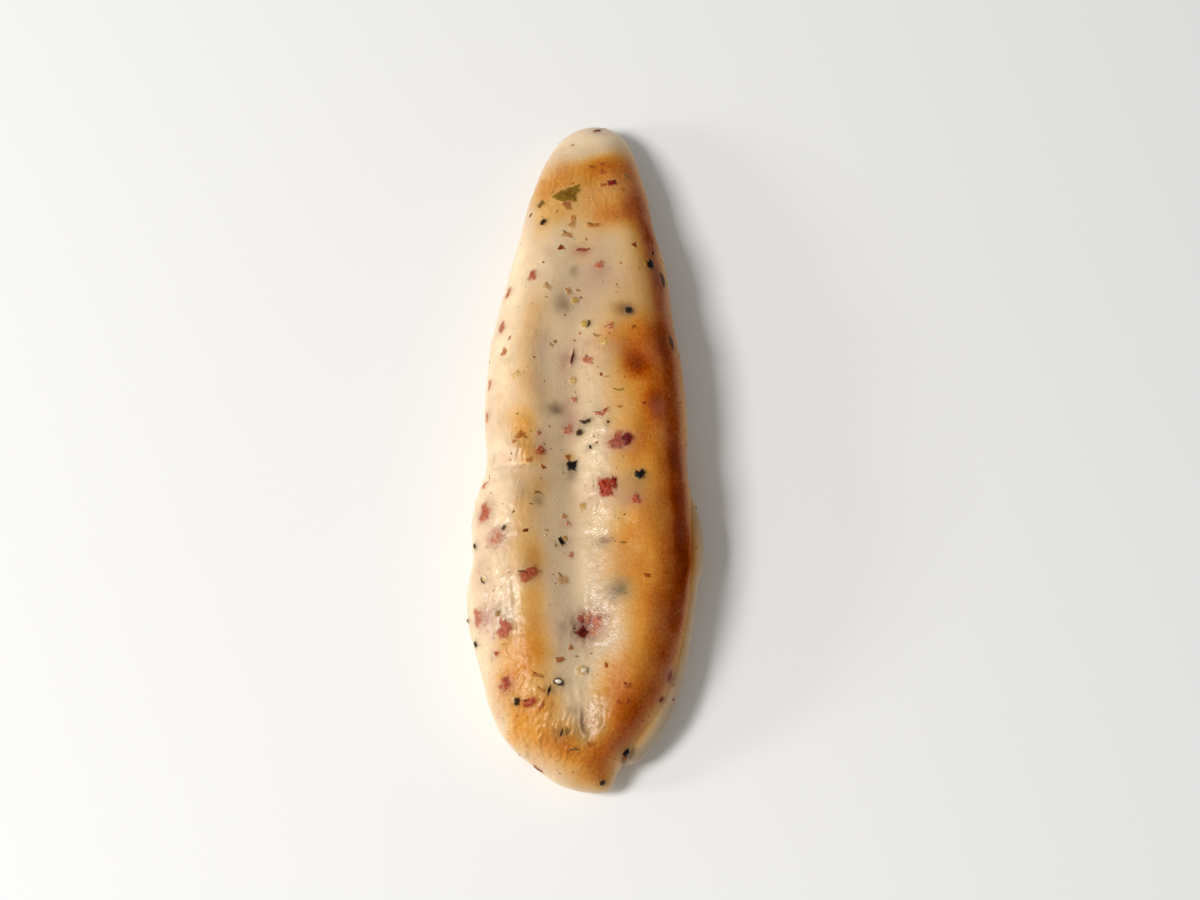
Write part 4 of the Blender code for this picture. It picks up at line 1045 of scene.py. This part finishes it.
def bitShape(corners, profile, draw):
    # a closed bit one unit across with its outline's corners cut round, its rise in the third coordinate
    outline = []
    for (ax, ay), (bx, by) in zip(corners, corners[1:] + corners[:1]):
        for share in shaping["cuts"][profile]:
            stray = [draw.uniform(-shaping["cornerStray"], shaping["cornerStray"]) for _ in range(2)]
            outline.append((ax + share * (bx - ax) + stray[0], ay + share * (by - ay) + stray[1]))
    midX, midY = [sum(c[k] for c in outline) / len(outline) for k in range(2)]
    shape = bmesh.new()
    inner = shape.verts.layers.float.new("inner")
    rings = []
    for share, rise, inside in profiles[profile]:
        ring = []
        for x, y in outline:
            ring.append(shape.verts.new((midX + share * (x - midX), midY + share * (y - midY), rise)))
            ring[-1][inner] = inside
        rings.append(ring)
    for low, high in zip(rings, rings[1:]):
        for i in range(len(low)):
            j = i - 1
            shape.faces.new((low[j], low[i], high[i], high[j]))
    centre = shape.verts.new((midX, midY, 1.0))
    centre[inner] = 1.0
    base = shape.verts.new((midX, midY, -1.0))
    for i in range(len(ring)):
        shape.faces.new((ring[i - 1], ring[i], centre))
        shape.faces.new((rings[0][i], rings[0][i - 1], base))
    bmesh.ops.recalc_face_normals(shape, faces=shape.faces)
    return shape


def shapeGroup(profile, draw):
    # a collection of the shapes, outside the scene, for the instances to be picked from by their outline
    group = bpy.data.collections.new(profile + "Shapes")
    for i, corners in enumerate(outlines):
        shape = bitShape(corners, profile, draw)
        mesh = bpy.data.meshes.new(f"{profile}Shape{i:02d}")
        shape.to_mesh(mesh)
        shape.free()
        mesh.shade_smooth()
        points = np.empty(len(mesh.vertices) * 3, np.float32)
        mesh.vertices.foreach_get("co", points)
        points = points.reshape(-1, 3)
        mesh.attributes.new("rise", "FLOAT", "POINT").data.foreach_set("value", points[:, 2].copy())
        points[:, 2] = 0
        mesh.vertices.foreach_set("co", points.ravel())
        group.objects.link(bpy.data.objects.new(mesh.name, mesh))
    return group


def pressTree():
    # a group that lays realized shapes on the skin by their rise and gives them the skin's own stains and
    # painted shade
    sides = {"Shapes": "Geometry", "Skin": "Geometry", "Proud": "Float", "Rough": "Float"}
    tree = newTree("pressOnSkin", "GeometryNodeTree", sides, {"Pressed": "Geometry"})
    given = put(tree, "NodeGroupInput").outputs
    here = put(tree, "GeometryNodeInputPosition").outputs[0]
    inputs = {0: given["Skin"], "Source Position": here}
    near = put(tree, "GeometryNodeProximity", {"target_element": "FACES"}, inputs).outputs["Position"]
    normal = put(tree, "GeometryNodeInputNormal").outputs[0]
    inputs = {"Mesh": given["Skin"], "Value": normal, "Sample Position": here}
    outwards = put(tree, "GeometryNodeSampleNearestSurface", {"data_type": "FLOAT_VECTOR"}, inputs)
    grain = put(tree, "ShaderNodeTexNoise", None, shaping["grain"]).outputs["Fac"]
    inputs = {"Value": grain, "To Min": 1.0, "To Max": given["Rough"]}
    uneven = put(tree, "ShaderNodeMapRange", None, inputs).outputs[0]
    height = put(tree, "GeometryNodeInputNamedAttribute", {"data_type": "FLOAT"}, {"Name": "rise"}).outputs[0]
    for factor in (given["Proud"], uneven):
        height = put(tree, "ShaderNodeMath", {"operation": "MULTIPLY"}, {0: height, 1: factor}).outputs[0]
    inputs = {0: outwards.outputs[0], "Scale": height}
    lift = put(tree, "ShaderNodeVectorMath", {"operation": "SCALE"}, inputs).outputs[0]
    laid = put(tree, "ShaderNodeVectorMath", {"operation": "ADD"}, {0: near, 1: lift}).outputs[0]
    shapes = given["Shapes"]
    for name in ("brown", *stainKinds, "wet"):
        read = put(tree, "GeometryNodeInputNamedAttribute", {"data_type": "FLOAT"}, {"Name": name})
        inputs = {"Mesh": given["Skin"], "Value": read.outputs[0], "Sample Position": here}
        taken = put(tree, "GeometryNodeSampleNearestSurface", {"data_type": "FLOAT"}, inputs)
        inputs = {"Geometry": shapes, "Name": name, "Value": taken.outputs[0]}
        shapes = put(tree, "GeometryNodeStoreNamedAttribute", {"data_type": "FLOAT"}, inputs).outputs[0]
    pressed = put(tree, "GeometryNodeSetPosition", None, {"Geometry": shapes, "Position": laid})
    put(tree, "NodeGroupOutput", None, {0: pressed.outputs[0]})
    return tree


def setShapes(tree, given, placing):
    # an instance of one of the shapes at each point, picked, turned and stretched as the placing inputs say
    inputs = {"Collection": given["Shapes"], "Separate Children": True, "Reset Children": True}
    shapes = put(tree, "GeometryNodeCollectionInfo", None, inputs).outputs[0]
    inputs = {"Instance": shapes, "Pick Instance": True, **placing}
    return put(tree, "GeometryNodeInstanceOnPoints", None, inputs).outputs[0]


def pressShapes(tree, given, instances, skinShape, press):
    # presses the shapes on the skin, gives them their material and ends the tree
    real = put(tree, "GeometryNodeRealizeInstances", None, {"Geometry": instances}).outputs[0]
    inputs = {"Shapes": real, "Skin": skinShape, "Proud": given["Proud"], "Rough": given["Rough"]}
    pressed = put(tree, "GeometryNodeGroup", {"node_tree": press}, inputs).outputs[0]
    inputs = {"Geometry": pressed, "Material": given["Finish"]}
    done = put(tree, "GeometryNodeSetMaterial", None, inputs).outputs[0]
    put(tree, "NodeGroupOutput", None, {0: done})


def bitTree(press):
    # sets a shape at each point that it gets, turned and stretched, and presses it on the skin
    sides = {
        "Points": "Geometry", "Skin": "Object", "Shapes": "Collection", "Proud": "Float", "Rough": "Float",
        "Finish": "Material",
    }
    tree = newTree("bitsInSkin", "GeometryNodeTree", sides, {"Bits": "Geometry"})
    given = put(tree, "NodeGroupInput").outputs
    stored = {}
    for name, kind in (("aim", "FLOAT_VECTOR"), ("stretch", "FLOAT_VECTOR"), ("form", "INT")):
        read = put(tree, "GeometryNodeInputNamedAttribute", {"data_type": kind}, {"Name": name})
        stored[name] = read.outputs[0]
    placing = {
        "Points": given["Points"], "Instance Index": stored["form"], "Rotation": stored["aim"],
        "Scale": stored["stretch"],
    }
    placed = setShapes(tree, given, placing)
    skinShape = put(tree, "GeometryNodeObjectInfo", None, {"Object": given["Skin"]}).outputs["Geometry"]
    pressShapes(tree, given, placed, skinShape, press)
    return tree


# What is random in a strewn shape: type, least and most. The place in the list shifts the seed
strewnChance = {
    "narrowing": ("FLOAT", 0.45, 1.0),
    "turn": ("FLOAT", 0.0, 6.283),
    "form": ("INT", 0, len(outlines) - 1),
    "tint": ("FLOAT", 0.1, 0.9),
    "veil": ("FLOAT", 0.0, 0.45),
}


def speckTree(press):
    # scatters shapes over the skin by density, size and seed, where it is high enough and doesn't face too
    # far up, and presses them on it
    sides = {
        "Skin": "Geometry", "Shapes": "Collection", "PerSquareMetre": "Float", "Smallest": "Float",
        "Largest": "Float", "Seed": "Int", "Lowest": "Float", "MostUp": "Float", "Proud": "Float",
        "Rough": "Float", "Finish": "Material",
    }
    tree = newTree("specksOverSkin", "GeometryNodeTree", sides, {"Specks": "Geometry"})
    given = put(tree, "NodeGroupInput").outputs
    here = put(tree, "GeometryNodeInputPosition").outputs[0]
    normal = put(tree, "GeometryNodeInputNormal").outputs[0]
    high, facing = [put(tree, "ShaderNodeSeparateXYZ", None, {0: way}).outputs["Z"] for way in (here, normal)]
    clear = put(tree, "FunctionNodeCompare", {"operation": "GREATER_THAN"}, {"A": high, "B": given["Lowest"]})
    down = put(tree, "FunctionNodeCompare", {"operation": "LESS_THAN"}, {"A": facing, "B": given["MostUp"]})
    inputs = {0: clear.outputs[0], 1: down.outputs[0]}
    both = put(tree, "FunctionNodeBooleanMath", {"operation": "AND"}, inputs).outputs[0]
    inputs = {
        "Mesh": given["Skin"], "Selection": both, "Density": given["PerSquareMetre"], "Seed": given["Seed"],
    }
    points = put(tree, "GeometryNodeDistributePointsOnFaces", None, inputs).outputs
    chance = {}
    ranges = {"size": ("FLOAT", given["Smallest"], given["Largest"]), **strewnChance}
    for shift, (name, (kind, least, most)) in enumerate(ranges.items(), 1):
        seed = put(tree, "ShaderNodeMath", {"operation": "ADD"}, {0: given["Seed"], 1: shift}).outputs[0]
        first = {"FLOAT": 2, "INT": 4}[kind]  # the node's first socket for this type
        inputs = {first: least, first + 1: most, "Seed": seed}
        drawn = put(tree, "FunctionNodeRandomValue", {"data_type": kind}, inputs)
        chance[name] = drawn.outputs[first // 2]
    inputs = {0: chance["size"], 1: chance["narrowing"]}
    narrow = put(tree, "ShaderNodeMath", {"operation": "MULTIPLY"}, inputs).outputs[0]
    inputs = {"X": chance["size"], "Y": narrow, "Z": chance["size"]}
    scale = put(tree, "ShaderNodeCombineXYZ", None, inputs).outputs[0]
    inputs = {"Rotation": points["Rotation"], "Axis": (0, 0, 1), "Angle": chance["turn"]}
    turning = {"rotation_type": "AXIS_ANGLE", "space": "LOCAL"}
    turned = put(tree, "FunctionNodeRotateEuler", turning, inputs).outputs[0]
    placing = {
        "Points": points["Points"], "Instance Index": chance["form"], "Rotation": turned, "Scale": scale,
    }
    instances = setShapes(tree, given, placing)
    for name in ("tint", "veil"):
        inputs = {"Geometry": instances, "Name": name, "Value": chance[name]}
        settings = {"data_type": "FLOAT", "domain": "INSTANCE"}
        instances = put(tree, "GeometryNodeStoreNamedAttribute", settings, inputs).outputs[0]
    pressShapes(tree, given, instances, given["Skin"], press)
    return tree


def plainMesh(name, start, tree, values):
    # runs the tree on the start mesh with named inputs, and keeps the result as a plain object
    worker = bpy.data.objects.new(name + "Worker", start)
    bpy.context.scene.collection.objects.link(worker)
    modifier = worker.modifiers.new("nodes", "NODES")
    modifier.node_group = tree
    for item in tree.interface.items_tree:
        if item.in_out == "INPUT" and item.name in values:
            modifier[item.identifier] = values[item.name]
    bpy.context.view_layer.update()
    result = bpy.data.meshes.new_from_object(worker.evaluated_get(bpy.context.evaluated_depsgraph_get()))
    worker.modifiers.remove(modifier)
    bpy.data.objects.remove(worker)
    result.name = name
    made = bpy.data.objects.new(name, result)
    bpy.context.scene.collection.objects.link(made)
    return made


def pointCloud(name, tree, places, grown):
    # a mesh of loose points on the skin with the attributes that the tree reads
    mesh = bpy.data.meshes.new(name + "Points")
    kinds = {
        "aim": "FLOAT_VECTOR", "stretch": "FLOAT_VECTOR", "form": "INT", "tint": "FLOAT", "veil": "FLOAT",
    }
    spots, values = [], {key: [] for key in kinds}
    for x, y, length, width, turn, form, tint, veil in places:
        place, normal, _, _ = tree.ray_cast(Vector((x, y, shaping["wellAbove"])) * mm, Vector((0, 0, -1)))
        ahead = Vector((math.cos(math.radians(turn)), math.sin(math.radians(turn)), shaping["lean"]))
        side = normal.cross(ahead).normalized()
        spots.append(place)
        values["aim"] += Matrix((side.cross(normal), side, normal)).transposed().to_euler()[:]
        values["stretch"] += [length * grown * mm, width * grown * mm, mm]
        values["form"].append(form)
        values["tint"].append(tint)
        values["veil"].append(veil)
    mesh.from_pydata(spots, [], [])
    for key, kind in kinds.items():
        field = "vector" if kind == "FLOAT_VECTOR" else "value"
        mesh.attributes.new(key, kind, "POINT").data.foreach_set(field, values[key])
    return mesh


def dress(piece):
    # nothing may stand outside the solid's box
    points = np.empty(len(piece.data.vertices) * 3, np.float32)
    piece.data.vertices.foreach_get("co", points)
    low, high = np.array(cadBox[0]) + shaping["boxMargin"], np.array(cadBox[1]) - shaping["boxMargin"]
    points = np.clip(points.reshape(-1, 3), low, high)
    piece.data.vertices.foreach_set("co", points.astype(np.float32).ravel())
    piece.data.update()
    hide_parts(node)
    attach(piece, body)


# What is strewn by a rule. Kinds: material, number a square centimetre, smallest and largest in
# millimetres, seed
strewn = {
    "Crumbs": {
        "profile": "crumb",
        "lowest": 0.5,  # millimetres above the flat
        "mostUp": 1.1,  # how far up the skin may face: from 1 on, all of it
        "proud": 0.05,
        "rough": 1.6,
        "kinds": [
            ("chiliFlake", 2.2, 0.25, 0.75, 3), ("pepper", 0.35, 0.18, 0.4, 5),
            ("herbLeaf", 0.9, 0.25, 0.65, 8),
        ],
    },
    # the underside and the lower sides, strewn with what the top has
    "Hidden": {
        "profile": "flat",
        "lowest": -1.0,
        "mostUp": 0.1,
        "proud": 0.035,
        "rough": 1.0,
        "kinds": [
            ("salami", 0.6, 1.8, 4.4, 31), ("pepper", 0.34, 1.2, 2.4, 33),
            ("mustardSeed", 0.34, 1.4, 2.0, 36), ("chiliFlake", 0.6, 1.2, 2.6, 37),
            ("herbLeaf", 0.2, 1.2, 2.8, 39),
        ],
    },
    # small blisters of the paste itself, which catch the light
    "Blisters": {
        "profile": "crumb",
        "lowest": 5.0,
        "mostUp": 1.1,
        "proud": 0.1,
        "rough": 1.6,
        "kinds": [("paste", 3.5, 0.25, 0.6, 21)],
    },
}

paste = pasteGroup()
skinObject = bpy.data.objects.new("cakeSkin", skinMesh())
bpy.context.scene.collection.objects.link(skinObject)
skinObject.data.materials.append(grilledFishPaste(paste))
print("skin made:", len(skinObject.data.polygons), "faces")

draw = random.Random(shaping["seed"])
groups = {profile: shapeGroup(profile, draw) for profile in profiles}
corners = [corner.co for corner in skinObject.data.vertices]
skinTree = BVHTree.FromPolygons(corners, [face.vertices[:] for face in skinObject.data.polygons])
press = pressTree()
placing, strewing = bitTree(press), speckTree(press)
finishes = {kind: setInPaste(kind, look, paste) for kind, look in bits.items()}
finishes["paste"] = skinObject.data.materials[0]

for kind, look in bits.items():
    values = {
        "Skin": skinObject, "Shapes": groups[look["profile"]], "Proud": look["proud"] * mm,
        "Rough": shaping["rough"], "Finish": finishes[kind],
    }
    spots = pointCloud(kind, skinTree, look["places"], look["grown"])
    piece = plainMesh(kind + "Bits", spots, placing, values)
    dress(piece)
    print(kind, "bits:", len(piece.data.polygons), "faces")
for name, rule in strewn.items():
    for kind, perSquareCm, smallest, largest, seed in rule["kinds"]:
        values = {
            "Shapes": groups[rule["profile"]], "PerSquareMetre": perSquareCm * 1e4, "Smallest": smallest * mm,
            "Largest": largest * mm, "Seed": seed, "Lowest": rule["lowest"] * mm, "MostUp": rule["mostUp"],
            "Proud": rule["proud"] * mm, "Rough": rule["rough"], "Finish": finishes[kind],
        }
        piece = plainMesh(kind + name, skinObject.data, strewing, values)
        dress(piece)
        print(kind, name.lower() + ":", len(piece.data.polygons), "faces")
dress(skinObject)

# The studio: a pale floor, soft light from the upper left, and the photo's steep view
studio = {
    "elevation": 71.0,
    "distance": 0.5,
    "lens": 90.9,
    "target": (2.32 * mm, 0.9 * mm, 0.0),
    "sensorWidth": 36,
    "clipStart": 0.01,
    "floorSize": 3.0,
    "floorStops": [(0.3, "#EFEEEC"), (0.7, "#F2F1EF")],
    "floorCloud": {"Scale": 3.0, "Detail": 2.0},
    "floorRoughness": 0.7,
    "worldStrength": 0.32,
    "keyPlace": (-0.62, -0.2, 0.84),
    "keySize": 0.32,
    "keyPower": 8.35,
    # a low window on the left, which gives the left flank its wet glints
    "windowPlace": (-0.85, -0.16, 0.34),
    "windowSize": 0.16,
    "windowPower": 2.0,
}


def floorMaterial():
    # matt white table: plain, with a faint uneven tone so that it isn't a flat colour
    made, tree = newMaterial("mattWhiteTable")
    place = put(tree, "ShaderNodeTexCoord").outputs["Object"]
    cloud = put(tree, "ShaderNodeTexNoise", None, {"Vector": place, **studio["floorCloud"]})
    ramp = put(tree, "ShaderNodeValToRGB", None, {"Fac": cloud.outputs["Fac"]})
    setRamp(ramp, studio["floorStops"])
    inputs = {"Base Color": ramp.outputs["Color"], "Roughness": studio["floorRoughness"]}
    shader = put(tree, "ShaderNodeBsdfPrincipled", None, inputs)
    put(tree, "ShaderNodeOutputMaterial", None, {"Surface": shader.outputs[0]})
    return made


def makeStudio():
    half = studio["floorSize"] / 2
    mesh = bpy.data.meshes.new("tableTop")
    corners = [(-half, -half, 0), (half, -half, 0), (half, half, 0), (-half, half, 0)]
    mesh.from_pydata(corners, [], [(0, 1, 2, 3)])
    floor = bpy.data.objects.new("tableTop", mesh)
    bpy.context.scene.collection.objects.link(floor)
    mesh.materials.append(floorMaterial())
    world = bpy.data.worlds.new("studio")
    world.use_nodes = True
    world.node_tree.nodes["Background"].inputs["Color"].default_value = (1, 1, 1, 1)
    world.node_tree.nodes["Background"].inputs["Strength"].default_value = studio["worldStrength"]
    bpy.context.scene.world = world
    for name in ("key", "window"):
        light = bpy.data.lights.new(name, "AREA")
        light.energy = studio[name + "Power"]
        light.size = studio[name + "Size"]
        lamp = bpy.data.objects.new(name, light)
        lamp.location = studio[name + "Place"]
        lamp.rotation_euler = (-Vector(studio[name + "Place"])).to_track_quat("-Z", "Y").to_euler()
        bpy.context.scene.collection.objects.link(lamp)
    tilt = math.radians(studio["elevation"])
    lens = bpy.data.cameras.new("camera")
    lens.lens = studio["lens"]
    lens.sensor_width = studio["sensorWidth"]
    lens.clip_start = studio["clipStart"]
    camera = bpy.data.objects.new("camera", lens)
    back = Vector((0, -math.cos(tilt), math.sin(tilt)))
    camera.location = Vector(studio["target"]) + back * studio["distance"]
    camera.rotation_euler = (math.pi / 2 - tilt, 0, 0)
    bpy.context.scene.collection.objects.link(camera)
    bpy.context.scene.camera = camera
    bpy.context.scene.view_settings.view_transform = "Standard"
    print("studio set")


makeStudio()
